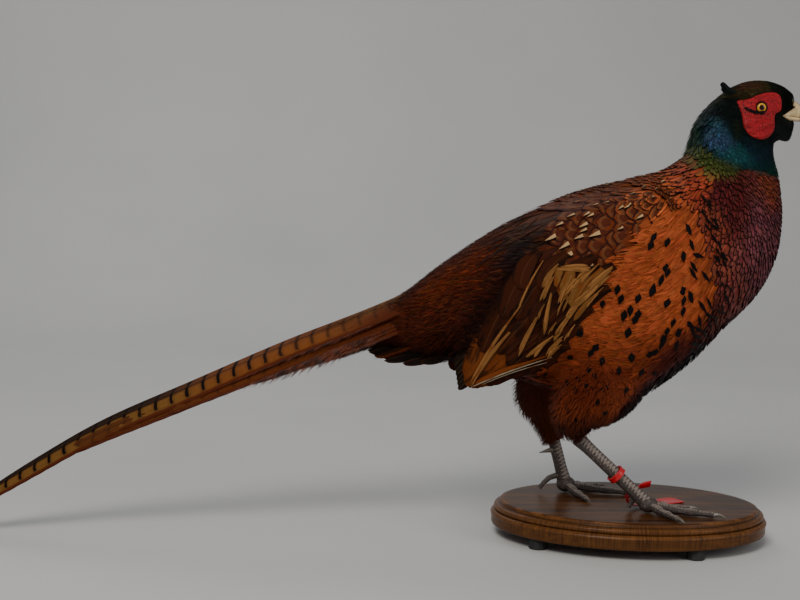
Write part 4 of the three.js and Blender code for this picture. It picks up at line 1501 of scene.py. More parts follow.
@dataclass
class Plumage:
    """The body's coat of feathers, tract by tract."""

    form: BodyForm = BodyForm()
    wing: WingPlate = WingPlate()
    fine: Rows = Rows(200, 1.0, 5.6, 2.5)
    scale: Rows = Rows(140, 0.95, 5.2, 2.35, 0.2)
    broad: Rows = Rows(76, 1.15, 4.4, 2.7, 0.14)
    hair: Rows = Rows(250, 1.1, 9.0, 1.0, 0.5)
    strands: Rows = Rows(230, 1.6, 8.0, 1.0, 0.5)

    def __post_init__(self) -> None:
        """Makes the surface that the coat lies on."""
        self.surface = body_surface(self.form, self.wing)

    def zone(self, outline: Points, points: Array) -> Array:
        """How far points lie inside a side-view outline."""
        return inside_distance(outline, *SIDE.see(points))

    def tracts(self, tips: Array, roots: Roots) -> dict[str, Array]:
        """Which tract each feather belongs to.

        Args:
            tips: Points under the feathers' tips.
            roots: Where they grow.

        Returns:
            A mask for each tract's name.
        """
        stations = roots.row * self.form.step
        flank = self.zone(FLANK_OUTLINE, tips) > -1
        scapular = (self.zone(SCAPULAR_OUTLINE, tips) > -1) & ~flank
        wing = (self.zone(WING_OUTLINE, tips) > 3) & ~flank & ~scapular
        rump = (self.zone(RUMP_OUTLINE, tips) > -3) & ~scapular & ~wing & ~flank
        dark = ((self.zone(BELLY_OUTLINE, tips) > 0)
            | (self.zone(THIGH_OUTLINE, tips) > 0)) & ~flank & ~rump & ~wing
        rest = ~(flank | scapular | wing | rump | dark)
        neck = rest & ((self.zone(NECK_OUTLINE, tips) > 0) | (stations > self.form.head))
        mantle = rest & ~neck & (self.zone(MANTLE_OUTLINE, tips) > 0)
        return {"flank": flank, "scapular": scapular, "rump": rump, "belly": dark,
            "head": neck & (stations > self.form.head + 1.9),
            "neck": neck & (stations <= self.form.head + 1.9), "mantle": mantle,
            "breast": rest & ~neck & ~mantle}

    def colours(self, tips: Array, rng: Rng, spread: float) -> Array:
        """The coat's colour under each tip, each a little lighter or darker.

        Args:
            tips: Points under the feathers' tips.
            rng: The random draws.
            spread: How much the shades differ.

        Returns:
            Linear colours.
        """
        tint = plumage_colours(*SIDE.see(tips))
        shades = rng.normal(0, spread, (len(tips), 1)) + rng.normal(0, spread * 0.4, (len(tips), 3))
        shades = np.clip(shades, -1.8 * spread, 1.8 * spread)
        return tint * np.exp(shades)

    def build(self) -> None:
        """Lays every tract."""
        rng = np.random.default_rng(SEED)
        sleek = FeatherFinish("head_vanes", 0.1, 0.45, 0.0, 3.0, 0.5, mottle=1.0, mottle_scale=420.0)
        glossy = FeatherFinish("neck_vanes", 0.12, 0.42, 0.0, 3.0, 0.5, srgb(8, 14, 16), 0.84, mottle=0.7,
            mottle_scale=320.0)
        coppery = FeatherFinish("breast_vanes", 0.08, 0.45, 0.0, 8.0, 0.25, srgb(18, 9, 10), 0.8)
        tawny = FeatherFinish("mantle_vanes", 0.0, 0.5, 0.0, 8.0, 0.3, srgb(24, 11, 8), 0.72)
        hairy = FeatherFinish("flank_vanes", 0.0, 0.55, 0.0, 22.0, 0.5)
        self.fine_tracts(rng, sleek, glossy, coppery, tawny)
        self.flank(rng, hairy)
        self.scapulars(rng)
        self.loose(rng)

    def fine_tracts(self, rng: Rng, *finishes: FeatherFinish) -> None:
        """Head, neck, breast and mantle.

        Args:
            rng: The random draws.
            finishes: Their finishes, in the order of the tracts.
        """
        roots = self.fine.roots(self.surface, rng)
        probe = Coat(self.surface)
        tips = probe.tips(roots)
        masks = self.tracts(tips, roots)
        bare = inside_distance(WATTLE_OUTLINE, tips[..., 0], tips[..., 2]) > 0.0
        bare &= np.abs(tips[..., 1]) > 6
        roots_at = self.surface.look(self.surface.points, roots.row, roots.column)
        at_bill = inside_distance(BILL_OUTLINE, roots_at[..., 0], roots_at[..., 2])
        bare |= at_bill > rng.uniform(-0.4, 2.0, len(bare))
        roots.lift = roots.lift + 0.9 * smoothstep(-6, -1, at_bill) * smoothstep(374, 380, tips[..., 2])
        roots.length = roots.length * (1 + 0.5 * smoothstep(-5, 0, at_bill))
        nape = smoothstep(66, 48, tips[..., 0]) * smoothstep(328, 342, tips[..., 2])
        loose = rng.random(len(nape)) ** 2
        roots.lift = roots.lift + 0.3 * smoothstep(96, 80, tips[..., 0]) * loose + nape * 2.3 * loose
        roots.length = roots.length * (1 + 0.5 * nape * loose)
        shapes = {"head": Vane(2, 2, 0.6, 0.5, sink=1.1, rise=0.12, camber=0.12),
            "neck": Vane(2, 3, 0.55, 0.55, sink=1.8, rise=0.35, camber=0.2),
            "breast": Vane(4, 5, 0.5, 0.62, sink=2.6, rise=0.3, camber=0.5),
            "mantle": Vane(4, 4, 0.5, 0.6, sink=2.6, rise=0.3, camber=0.5)}
        slots = ("head_feathers", "neck_feathers", "body_feathers", "body_feathers")
        for (tract, shape), finish, slot in zip(shapes.items(), finishes, slots):
            if tract == "breast":
                roots = self.scale.roots(self.surface, rng)
                tips = probe.tips(roots)
                masks = self.tracts(tips, roots)
                bare = np.zeros(len(tips), bool)
            keep = masks[tract] & ~bare
            laid = roots.sized(1.2, 0.76) if tract == "mantle" else roots
            coat = Coat(self.surface)
            spread = {"neck": 0.24, "head": 0.3}.get(tract, 0.2)
            coat.lay(laid.chosen(keep), shape, self.colours(tips[keep], rng, spread))
            keep_piece(coat.sheets.piece(f"feathers_{tract}"), finish.build(), slot)

    def flank(self, rng: Rng, finish: FeatherFinish) -> None:
        """Long hairy flank feathers, some with a black spade across the tip, and black bars near the front.

        Args:
            rng: The random draws.
            finish: The finish.
        """
        roots = self.broad.roots(self.surface, rng)
        coat, marks = Coat(self.surface), Coat(self.surface)
        tips = coat.tips(roots)
        keep = self.tracts(tips, roots)["flank"]
        roots, tips = roots.chosen(keep), tips[keep]
        side = np.sign(tips[:, 1])
        front = smoothstep(-20, 60, tips[:, 0])
        roots.twist = roots.twist + side * 0.3 * front
        roots.length = roots.length * (1.15 + 0.25 * front)
        tint = self.colours(tips, rng, 0.05)
        at_edge = smoothstep(8, 1, self.zone(FLANK_OUTLINE, tips))
        ground = replace(roots, breadth=roots.breadth * (1 - 0.45 * at_edge))
        coat.lay(ground, Vane(4, 6, 0.45, 0.6, 1.6, sink=3.0, rise=0.2, camber=0.2), tint)
        hair = self.hair.roots(self.surface, rng)
        ends = coat.tips(hair)
        within = self.tracts(ends, hair)["flank"] & (self.zone(FLANK_OUTLINE, ends) > 0)
        hair, ends = hair.chosen(within).sized(1.1, 0.8, 0.25), ends[within]
        hair.twist = hair.twist * 0.5 + np.sign(ends[:, 1]) * 0.3 * smoothstep(-20, 60, ends[:, 0])
        coat.lay(hair, Vane(1, 4, 0.7, 0.5, 1.5, sink=2.0, rise=0.5, camber=0.0),
            self.colours(ends, rng, 0.24))
        keep_piece(coat.sheets.piece("feathers_flank"), finish.build(), "body_feathers")
        front = smoothstep(22, 9, self.zone(FLANK_OUTLINE, tips)) * smoothstep(14, 30, tips[:, 0])
        streak = front * smoothstep(150, 185, tips[:, 2])
        chance = 0.27 + 0.17 * smoothstep(84, 200, tips[:, 2]) + 0.5 * streak
        marked = (rng.random(len(tips)) < chance) & (self.zone(FLANK_OUTLINE, tips) > 1)
        spots = marks.ahead(roots.chosen(marked), 0.8)
        at = tips[marked]
        streak = streak[marked]
        count = int(marked.sum())
        small = 0.58 + 0.42 * smoothstep(110, 200, at[:, 2])
        spots.length = (8.0 + 7.0 * streak) * small * rng.uniform(0.8, 1.25, count)
        spots.breadth = (6.3 - 3.4 * streak) * small * rng.uniform(0.8, 1.15, count)
        spots.twist = spots.twist + np.sign(at[:, 1]) * (1.3 + 0.6 * streak + rng.normal(0, 0.2, count))
        spots.lift = np.full(count, 0.95) + rng.uniform(0, 0.25, count)
        flat = Vane(4, 8, 0.12, 0.42, 1.25, sink=0.0, rise=0.0, camber=0.15)
        marks.lay(spots, flat, flat_tint(count, 14, 8, 8))
        bars = self.scale.roots(self.surface, rng)
        at = coat.tips(bars)
        border = self.zone(FLANK_OUTLINE, at)
        kept = (np.abs(border - 2) < 7) & (at[:, 0] > 20) & (at[:, 2] > 165) & (rng.random(len(at)) < 0.34)
        bars, at = bars.chosen(kept), at[kept]
        count = int(kept.sum())
        bars.length, bars.breadth = rng.uniform(7, 14, count), rng.uniform(1.8, 3.0, count)
        bars.twist = bars.twist + np.sign(at[:, 1]) * (1.9 + rng.normal(0, 0.15, count))
        bars.lift = np.full(count, 1.1)
        marks.lay(bars, flat, flat_tint(count, 14, 8, 8))
        finish = FeatherFinish("mark_vanes", 0.1, 0.45, 0.02, 6.0)
        keep_piece(marks.sheets.piece("flank_tip_marks"), finish.build(), "body_feathers")

    def scapulars(self, rng: Rng) -> None:
        """Shoulder feathers with grey-brown loops, and cream slivers over black ones set lower as painted
        shadows.

        Args:
            rng: The random draws.
        """
        coat, marks = Coat(self.surface), Coat(self.surface)
        for rows, top in ((self.broad, -1), (self.scale, 1)):
            roots = rows.roots(self.surface, rng)
            tips = coat.tips(roots)
            keep = self.tracts(tips, roots)["scapular"] & ((tips[:, 2] - 292) * top > 0)
            self.shoulder(coat, marks, roots.chosen(keep), tips[keep], rng)
        finish = FeatherFinish("scapular_vanes", 0.0, 0.55, 0.0, 18.0, 0.35, srgb(46, 20, 14), 0.86)
        keep_piece(coat.sheets.piece("feathers_scapular"), finish.build(), "body_feathers")
        finish = FeatherFinish("loop_vanes", 0.0, 0.55, 0.0, 8.0)
        keep_piece(marks.sheets.piece("scapular_marks"), finish.build(), "body_feathers")

    def shoulder(self, coat: Coat, marks: Coat, roots: Roots, tips: Array, rng: Rng) -> None:
        """Shoulder feathers of one size, with their marks.

        Args:
            coat: The feathers laid so far.
            marks: The marks laid so far.
            roots: Where the feathers grow, and their sizes.
            tips: Points under the feathers' tips.
            rng: The random draws.
        """
        coat.lay(roots, Vane(4, 6, 0.5, 0.66, sink=3.4, rise=0.5, camber=0.5), self.colours(tips, rng, 0.12))
        for breadth, span, lift, colour in ((0.66, (0.55, 0.9), 0.15, srgb(100, 60, 36)),
                (0.46, (0.55, 0.84), 0.3, srgb(80, 35, 20))):
            shape = Vane(4, 5, 0.3, 0.6, sink=3.4, rise=0.5, camber=0.3, span=span)
            marks.lay(roots.sized(1.0, breadth, lift), shape, np.tile(np.array(colour), (len(tips), 1)))
        low = smoothstep(300, 262, tips[:, 2]) * smoothstep(30, -10, tips[:, 0])
        pale = rng.random(len(tips)) < 0.2 + 0.3 * low
        at, count = tips[pale], int(pale.sum())
        size = (0.46 + 0.54 * low[pale]) * rng.uniform(0.6, 1.3, count)
        side = np.sign(at[:, 1])
        # The black sliver is drawn larger and set lower than each cream sliver, under it, as its painted
        # shadow.
        for colour, lift, slide, grow in ((srgb(20, 10, 8), 0.75, 1.2, 1.1),
                (srgb(196, 160, 116), 0.95, 0.0, 1.0)):
            spots = marks.ahead(roots.chosen(pale), 0.72)
            away = (slide - 1.0) * side / self.surface.look(self.surface.column_size, spots.row,
                spots.column)
            spots = Roots(spots.row, spots.column + away, 8.6 * size * grow, 3.1 * size * grow,
                spots.twist + side * 0.35, np.full(count, lift))
            shape = Vane(2, 4, 1.0, 0.1, 1.15, sink=0.0, rise=0.1, camber=0.1)
            marks.lay(spots, shape, np.tile(np.array(colour), (count, 1)))

    def loose(self, rng: Rng) -> None:
        """The rump's hair-like coat, and the black belly.

        Args:
            rng: The random draws.
        """
        halves = {side: Coat(self.surface) for side in Side}

        def lay(roots: Roots, shape: Vane, tips: Array, spread: float) -> None:
            """Lays feathers on the half that they grow on.

            Args:
                roots: Where the feathers grow, and their sizes.
                shape: The shape of the feathers.
                tips: Points under the feathers' tips.
                spread: How much their shades differ.
            """
            for side, coat in halves.items():
                here = np.where(tips[:, 1] > 0, 1, -1) == side.value
                coat.lay(roots.chosen(here), shape, self.colours(tips[here], rng, spread))

        base = self.broad.roots(self.surface, rng)
        tips = Coat(self.surface).tips(base)
        keep = self.tracts(tips, base)["rump"]
        lay(base.chosen(keep).sized(1.2, 1.0, -0.6), Vane(3, 5, 0.5, 0.6, sink=3.0, rise=0.3), tips[keep],
            0.15)
        strands = self.strands.roots(self.surface, rng)
        tips = Coat(self.surface).tips(strands)
        masks = self.tracts(tips, strands)
        shaggy = (self.zone(RUMP_OUTLINE, tips) > -9) & (tips[:, 2] > 286)
        masks["rump"] |= shaggy & (self.zone(WING_OUTLINE, tips) < 3) & ~masks["flank"]
        facing = self.surface.look(self.surface.normals, strands.row, strands.column)[:, 2]
        hanging = masks["rump"] & (facing < -0.3) & (np.abs(tips[:, 0] + 150) < 34)
        for chosen, length, rise in ((masks["rump"] & ~hanging, 1.8, 0.9), (hanging, 1.6, 7.0)):
            some = strands.chosen(chosen).sized(length, 1.15)
            some.twist = some.twist * 0.7
            lay(some, Vane(1, 4, 0.7, 0.5, 1.5, sink=3.0, rise=rise, camber=0.0), tips[chosen], 0.42)
        ragged = FeatherFinish("rump_vanes", 0.0, 0.6, 0.0, 26.0, 0.45).build()
        for side, coat in halves.items():
            keep_piece(coat.sheets.piece(f"feathers_rump_{side.word}"), ragged, "body_feathers")
        belly = Coat(self.surface)
        chosen = strands.chosen(masks["belly"]).sized(0.7, 2.2)
        belly.lay(chosen, Vane(2, 3, 0.6, 0.55, sink=3.0, rise=0.6),
            self.colours(tips[masks["belly"]], rng, 0.25))
        finish = FeatherFinish("belly_vanes", 0.1, 0.5, 0.04, 14.0)
        keep_piece(belly.sheets.piece("feathers_belly"), finish.build(), "body_feathers")


@dataclass
class Skin:
    """One skin under the coat, from the tail's root over trunk, thighs and neck to the face."""

    form: BodyForm = BodyForm()
    flatness: float = 0.86
    depth: float = 4.0
    voxel: float = 2.4
    thigh_rows: int = 90
    thigh_sides: int = 96

    def thigh_surface(self, stages: Points) -> Surface:
        """The outer lie of a thigh's coat, with its foot end as row 0.

        Args:
            stages: The thigh's middle line and radii.

        Returns:
            The surface.
        """
        rows = along(np.array(stages, float), np.linspace(len(stages) - 1, 0, self.thigh_rows))
        tube = Tube(rows[:, :3], rows[:, 3] * self.flatness, rows[:, 3], self.thigh_sides, X_UP)
        points, _ = tube.build()
        return Surface(points[1:-1].reshape(len(rows), self.thigh_sides, 3))

    def body(self) -> Shell:
        """The body's own skin, thinner under the short coat of neck and head.

        Returns:
            Points and faces.
        """
        stations = np.arange(0, len(self.form.sections) - 1 + 0.1, 0.2)
        inset = self.depth - (self.depth - 1.3) * smoothstep(9.0, 15.0, stations)
        return closed_rings(self.form.rings(stations, inset + 1.2 * smoothstep(18.5, 20.0, stations))[:,
            ::4])

    def build(self) -> None:
        """Joins trunk and thighs into one remeshed skin, tinted as the coat is."""
        parts = [self.body()]
        for stages in (THIGH_RIGHT, THIGH_LEFT):
            rows = stretched(stages, 24)
            radius = np.maximum(rows[:, 3] - 2.5, 3.0)
            parts.append(Tube(rows[:, :3], radius * self.flatness, radius, 28, X_UP).build())
        points, faces = joined(*parts)
        skin = face_out(make_piece("skin", points, faces))
        remesh = skin.modifiers.new("one_skin", "REMESH")
        remesh.mode = "VOXEL"
        remesh.voxel_size = self.voxel / MM
        remesh.use_smooth_shade = True
        plain_mesh(skin)
        spots = np.empty(len(skin.data.vertices) * 3, np.float32)
        skin.data.vertices.foreach_get("co", spots)
        spots = (spots.reshape(-1, 3) - PART.shift()) * MM
        # The coat's colours at 0.6: darker, as painted shade in the gaps between feathers.
        tint = plumage_colours(*SIDE.see(spots)) * 0.6
        rgba = np.concatenate([tint, np.ones((len(tint), 1))], 1).astype(np.float32)
        skin.data.attributes.new("coat", "FLOAT_COLOR", "POINT").data.foreach_set("color", rgba.reshape(-1))
        nodes = ("trunk", "neck", "head", "thigh_right", "thigh_left")
        keep_piece(skin, SkinFinish().build(), "body_feathers", *nodes)

    def thigh_coats(self) -> None:
        """Loose feathers down each thigh, in the flank's colours, ragged over the ankle."""
        rng = np.random.default_rng(SEED + 5)
        finish = FeatherFinish("thigh_vanes", 0.0, 0.6, 0.04, 16.0, 0.35).build()
        for side, stages in zip(Side, (THIGH_RIGHT, THIGH_LEFT)):
            surface = self.thigh_surface(stages)
            coat = Coat(surface)
            for rows, shape, breadth in ((Rows(64, 1.1, 4.6, 2.2, 0.3),
                    Vane(2, 4, 0.6, 0.5, 1.6, sink=2.4, rise=0.8, camber=0.3), 9.0),
                    (Rows(130, 1.2, 9.0, 1.0, 0.6),
                    Vane(1, 4, 0.7, 0.5, 1.5, sink=2.0, rise=1.4, camber=0.0), 9.0),
                    (Rows(84, 1.2, 11.0, 0.7, 0.5),
                    Vane(1, 5, 0.7, 0.4, 1.3, sink=1.0, rise=6.0, camber=0.0), 1.1)):
                roots = rows.roots(surface, rng)
                roots.length = np.clip(roots.length, 6, 14)
                roots.breadth = np.clip(roots.breadth, 0.5, breadth)
                if breadth < 2:
                    out = surface.look(surface.normals, roots.row, roots.column)
                    roots = roots.chosen(out[:, 0] < -0.1)
                x, z = SIDE.see(coat.tips(roots))
                outer = surface.look(surface.points, roots.row, roots.column)[:, 1] * side.value
                tint = plumage_colours(x, z) * np.exp(rng.normal(0, 0.12, (len(x), 1))) * 0.8
                inner = smoothstep(48, 36, outer)
                coat.lay(roots, shape, mix(tint, rgb(98, 45, 24), inner * 0.75))
            roots = Rows(18, 1.3, 1.0, 1.0, 0.3).roots(surface, rng)
            place = surface.look(surface.points, roots.row, roots.column)
            marked = (place[:, 1] * side.value > 46) & (np.abs(place[:, 2] - 128)
                < 30) & (rng.random(len(place)) < 0.6)
            roots = roots.chosen(marked)
            count = int(marked.sum())
            roots.length, roots.breadth = rng.uniform(4.5, 7.0, count), rng.uniform(3.6, 5.0, count)
            roots.lift = np.full(count, 1.6)
            black = flat_tint(count, 20, 10, 8)
            coat.lay(roots, Vane(4, 8, 0.08, 0.5, 1.5, sink=0.0, rise=0.0, camber=0.15), black)
            keep_piece(coat.sheets.piece(f"thigh_coat_{side.word}"), finish, "thigh_feathers")


@dataclass
class Head:
    """Face skin, eyes, bill and ear tufts."""

    form: BodyForm = BodyForm()
    centre: Pair = (94.5, 371.5)
    thickness: float = 1.5
    eye: Pair = (94.2, 377.0)
    eye_radius: float = 6.0
    eye_sunk: float = 3.4
    bead: float = 1.4
    streak_count: int = 260
    tuft_count: int = 54
    lid: Pair = (4.35, 4.2)
    upper: Table = ((121.5, 385.6, 113, 370.3, 12.6), (128.2, 384.4, 121, 369.9, 10.2),
        (134.4, 381.2, 128.5, 369.6, 6.8), (141, 376.8, 136.5, 369.0, 4.9),
        (146.6, 371.6, 143.6, 367.6, 2.8), (149.6, 367.4, 148.6, 366.2, 0.9))
    lower: Table = ((113.6, 371.0, 116, 366.2, 12.2), (126, 370.6, 127.5, 366.4, 7.8),
        (134.5, 370.0, 135, 366.4, 4.4), (141.4, 368.1, 141.2, 366.2, 1.6))
    nostril: tuple[Pair, Pair] = ((122.0, 380.0), (126.8, 378.2))
    tufts: tuple[tuple[Triple, ...], ...] = (((73, -9, 388), (66.4, -9.5, 391.8), (61.4, -9.5, 397)),
        ((78, 10, 388), (72.5, 11.5, 390.5), (68.5, 12.4, 393.6)))

    def outline(self, count: int = 260) -> Array:
        """The wattle's edge as a smooth closed line.

        Args:
            count: How many points.

        Returns:
            Points of the line.
        """
        corners = np.array(WATTLE_OUTLINE, float)
        looped = np.concatenate([corners[-2:], corners, corners[:3]])
        places = 2 + np.linspace(0, len(corners), count, endpoint=False)
        return along(looped, places)

    def beads(self, x: Array, z: Array) -> Array:
        """Height of the papillae, from 0 in the valleys to 1.

        Args:
            x: Places along the bird.
            z: Heights.

        Returns:
            Heights from 0 to 1.
        """
        table = np.random.default_rng(SEED + 1).random((64, 64, 2))
        i, j = np.floor(x / self.bead).astype(int), np.floor(z / self.bead).astype(int)
        best = np.full(x.shape, 9.0)
        for di in (-1, 0, 1):
            for dj in (-1, 0, 1):
                spot = table[(i + di) % 64, (j + dj) % 64] * 0.8 + 0.1
                away = np.hypot(x / self.bead - i - di - spot[..., 0], z / self.bead - j - dj - spot[..., 1])
                best = np.minimum(best, away)
        return np.clip(1 - (best / 0.75) ** 2, 0, 1)

    def wattles(self) -> None:
        """Bare beaded skin on both cheeks, with a rim and a socket for the eye."""
        edge = self.outline()
        centre = np.array(self.centre)
        share = np.linspace(0, 1, 84)[:, None, None] ** 0.85
        flat = centre + (edge - centre) * np.maximum(share, 0.004)
        x, z = flat[..., 0], flat[..., 1]
        deep = np.maximum(inside_distance(edge[::4], x, z), 0)
        rim = np.clip(deep / 2.4, 0, 1)
        swell = np.sqrt(1 - (1 - rim) ** 2)
        grain = self.beads(x, z)
        from_eye = np.hypot(x - self.eye[0], z - self.eye[1])
        socket = smoothstep(6.2, 3.6, from_eye)
        fold = 0.35 * np.sin((z - 0.35 * x) * 0.85) * smoothstep(372, 364, z)
        lift = -0.7 + swell * (self.thickness + 0.4) + grain * 0.55 * rim * (1 - socket) + fold * rim
        lift = lift - socket * 1.6
        body = self.form.half_width(x, z)
        faces, _ = grid(x.shape[0], x.shape[1], True)
        red, deep_red, pale = (rgb(*c) for c in ((152, 14, 24), (72, 6, 12), (184, 56, 54)))
        # Painted light and shade: the beads red and the valleys between them deep red as painted shade, the
        # beads near the edge paler, and the eye's socket darker as painted shade.
        tint = mix(np.tile(deep_red, (x.size, 1)), red, smoothstep(0.0, 0.75, grain).reshape(-1))
        tint = mix(tint, pale, (smoothstep(2.6, 0.6, deep) * 0.4 * grain).reshape(-1))
        tint = mix(tint, rgb(60, 6, 8), socket.reshape(-1) * 0.8)
        finish = WattleFinish().build()
        for side in Side:
            points = np.stack([x, side.value * (body + lift), z], -1).reshape(-1, 3)
            chart = np.stack([(x - 60) / 70, (z - 340) / 70], -1).reshape(-1, 2)
            turned = faces if side is Side.LEFT else faces[:, ::-1]
            piece = make_piece(f"face_skin_{side.word}", points, turned, {"face": chart}, {"coat": tint})
            turn_to(piece, (0, side.value, 0))
            keep_piece(piece, finish, "wattle", f"wattle_{side.word}")

    def eyes(self) -> None:
        """Eyeballs and their dark lids."""
        half = float(self.form.half_width(np.array([self.eye[0]]), np.array([self.eye[1]]))[0])
        glass, lid = EyeFinish().build(), FeatherFinish("lid_skin", 0.0, 0.45, 0.02, 1.0, 0.1).build()
        down = np.linspace(0, math.pi * 0.62, 26)[:, None]
        turn = round_turn(48)[None]
        out = np.sin(down)
        for side in Side:
            points = np.stack([self.eye[0] + self.eye_radius * out * np.cos(turn),
                side.value * (half - self.eye_sunk + self.eye_radius * np.cos(down) + 0 * turn),
                self.eye[1] + self.eye_radius * out * np.sin(turn)], -1).reshape(-1, 3)
            faces, at = grid(26, 48, True)
            chart = np.stack([np.sin(down[at[..., 0].astype(int), 0]), at[..., 1] / 48], -1).reshape(-1, 2)
            ball = make_piece(f"eyeball_{side.word}", points, faces, {"iris": chart})
            turn_to(ball, (0, side.value, 0))
            keep_piece(ball, glass, "eye", f"eye_{side.word}")
            ring = np.linspace(0, 2 * math.pi, 73)
            line = np.stack([self.eye[0] + self.lid[0] * np.cos(ring) + 0.5 * np.cos(ring)
                * (np.cos(ring) > 0.8), np.full(73, side.value * (half + 0.75)),
                self.eye[1] + self.lid[1] * np.sin(ring)], 1)
            shape, lid_faces = Tube(line, np.full(73, 0.62), np.full(73, 0.8), 10, Y_UP).build()
            tint = flat_tint(len(shape), 30, 12, 12)
            blank = {"vane": np.zeros((len(shape), 2))}
            rim = make_piece(f"eyelid_{side.word}", shape, lid_faces, blank, {"coat": tint})
            keep_piece(face_out(rim), lid, "head_feathers")

    def streaks(self) -> None:
        """The wedge of short black feathers that runs back from under the eye."""
        rng = np.random.default_rng(SEED + 2)
        route = polyline(((96.5, 372.8), (91, 372.6), (86.5, 373.1), (83, 374.3), (80.4, 375.8)), 60)
        finish = FeatherFinish("streak_vanes", 0.1, 0.45, 0.02, 4.0, 0.3).build()
        for side in Side:
            wedge = Sheets()
            for _ in range(self.streak_count):
                share = rng.random()
                root = route[int(share * 59)] + rng.normal(0, 0.7, 2) * np.array([1, 1.0 - 0.65 * share])
                run = np.array([-1.0, 0.1 + 0.45 * share]) + rng.normal(0, 0.12, 2)
                run = run / np.linalg.norm(run)
                across = np.array([-run[1], run[0]])
                v = np.linspace(0, 1, 4)
                width = 0.48 * np.array([0.6, 1.0, 0.8, 0.15])
                spine = root + run * (v[:, None] * rng.uniform(1.6, 2.6))
                sheet = ribbon(spine, across, width, SIDES)
                lift = self.thickness - 0.2 + 0.75 * v[:, None] + rng.uniform(0, 0.35) + 0 * sheet[..., 0]
                y = side.value * (self.form.half_width(sheet[..., 0], sheet[..., 1]) + lift)
                tint = np.tile(rgb(34, 24, 24) * rng.uniform(0.5, 1.5), (8, 1))
                wedge.add(np.stack([sheet[..., 0], y, sheet[..., 1]], -1), vane=chart_of(EDGES, v),
                    coat=tint)
            piece = wedge.piece(f"eye_streak_{side.word}")
            turn_to(piece, (0, side.value, 0))
            keep_piece(piece, finish, "head_feathers")

    def mandible(self, name: str, sections: Points, ridge: float) -> Piece:
        """One half of the bill.

        Args:
            name: The piece's name.
            sections: Back, belly and half width of each section.
            ridge: How sharp the back is, from 0 for round.

        Returns:
            The piece, tinted.
        """
        rows, sides = 110, 72
        table = stretched(sections, rows)
        back, belly, half = table[:, :2], table[:, 2:4], table[:, 4]
        centre, up = (back + belly) / 2, (back - belly) / 2
        turn = round_turn(sides)
        c, s = np.cos(turn), np.sin(turn)
        upper = name == "bill_top"
        wide = np.sign(s) * np.abs(s) ** np.where((c > 0) == upper, 1.1 + ridge * 0.6, 0.4)
        x = centre[:, :1] + up[:, :1] * c
        z = centre[:, 1:] + up[:, 1:] * c
        y = half[:, None] * wide[None]
        bare = inside_distance(BILL_OUTLINE, x, z)
        seated = self.form.half_width(x, z) - 3.0 + 3.3 * smoothstep(-0.8, 0.5, bare)
        seated = np.sign(s) * np.minimum(1, np.abs(s) * 5) * np.maximum(seated, 0.3)
        y = mix(y[..., None], seated[..., None], smoothstep(128, 121, x))[..., 0]
        low, high = np.array(self.nostril[0]), np.array(self.nostril[1])
        run = high - low
        share = np.clip(((x - low[0]) * run[0] + (z - low[1]) * run[1]) / (run @ run), 0, 1)
        off = np.hypot(x - low[0] - share * run[0], z - low[1] - share * run[1])
        flap = np.hypot(x - low[0] - share * run[0], z - low[1] - 1.5 - share * run[1])
        slot = smoothstep(1.0, 0.45, off) * (np.abs(s)[None] > 0.3) * upper
        y = y * (1 - 0.13 * slot) + np.sign(y) * 0.7 * smoothstep(1.7, 0.5, flap) * (1 - slot) * upper
        ivory, base = rgb(206, 182, 138), rgb(134, 112, 80)
        tint = mix(np.tile(ivory, (rows, sides, 1)), base, smoothstep(2.4, 0.2, bare) * 0.7)
        tint = mix(tint, rgb(150, 124, 88), smoothstep(0.55, 0.95, np.abs(c))[None] * 0.35 + 0 * x)
        # Painted shade: the nostril's slit near black.
        tint = mix(tint, rgb(20, 14, 12), slot)
        # Painted shade: the lower side of each mandible darker, in the gape and under the bill.
        lip = smoothstep(-0.78, -0.92, c)[None] + 0 * x
        tint = mix(tint, rgb(70, 54, 42), lip * 0.6)
        rings = np.stack([x, y, z], -1)
        points, faces = closed_rings(rings)
        shades = np.concatenate([tint[0, :1], tint.reshape(-1, 3), tint[-1, :1]])
        return face_out(make_piece(name, points, faces, None, {"coat": shades}))

    def bill(self) -> None:
        """Upper and lower bill."""
        finish = BillFinish().build()
        keep_piece(self.mandible("bill_top", self.upper, 0.5), finish, "bill", "bill_upper")
        keep_piece(self.mandible("bill_bottom", self.lower, 0.0), finish, "bill", "bill_lower")

    def ear_tufts(self) -> None:
        """A stub of stiff black feathers behind each side of the crown."""
        rng = np.random.default_rng(SEED + 3)
        finish = FeatherFinish("tuft_vanes", 0.15, 0.42, 0.02, 5.0, 0.3).build()
        for side, route in zip(Side, self.tufts):
            spine = polyline(route, 7)
            tuft = Sheets()
            for _ in range(self.tuft_count):
                angle = rng.uniform(0, 2 * math.pi)
                size = 2.15 * math.sqrt(rng.random())
                around = np.array([math.cos(angle) * 0.6, math.sin(angle) * 0.9,
                    math.cos(angle) * 0.8]) * size
                taper = np.linspace(1.25, 0.8, 7)[:, None]
                line = spine + around * taper
                line = line[0] + (line - line[0]) * rng.uniform(0.82, 1.02)
                run = unit(np.gradient(line, axis=0))
                away = unit(np.array([math.cos(angle), math.sin(angle), 0.4]) + rng.normal(0, 0.2, 3))
                across = unit(np.cross(run, away))
                width = 1.15 * np.array([0.7, 1, 1, 1, 1, 0.9, 0.4])
                sheet = ribbon(line, across[:, None], width, SIDES)
                tint = np.tile(rgb(20, 26, 24) * rng.uniform(0.6, 1.5), (14, 1))
                tuft.add(sheet, vane=chart_of(EDGES, np.linspace(0, 1, 7)), coat=tint)
            piece = tuft.piece(f"ear_tuft_vanes_{side.word}")
            keep_piece(piece, finish, "head_feathers", f"ear_tuft_{side.word}")

    def build(self) -> None:
        """Builds the head's own parts."""
        self.wattles()
        self.eyes()
        self.streaks()
        self.bill()
        self.ear_tufts()


@dataclass(frozen=True)
class Tier:
    """One tier of a folded wing: how many feathers, where they start and end, their half breadth and lift.
    """

    count: int
    start: float
    end: float
    half: float
    lift: float


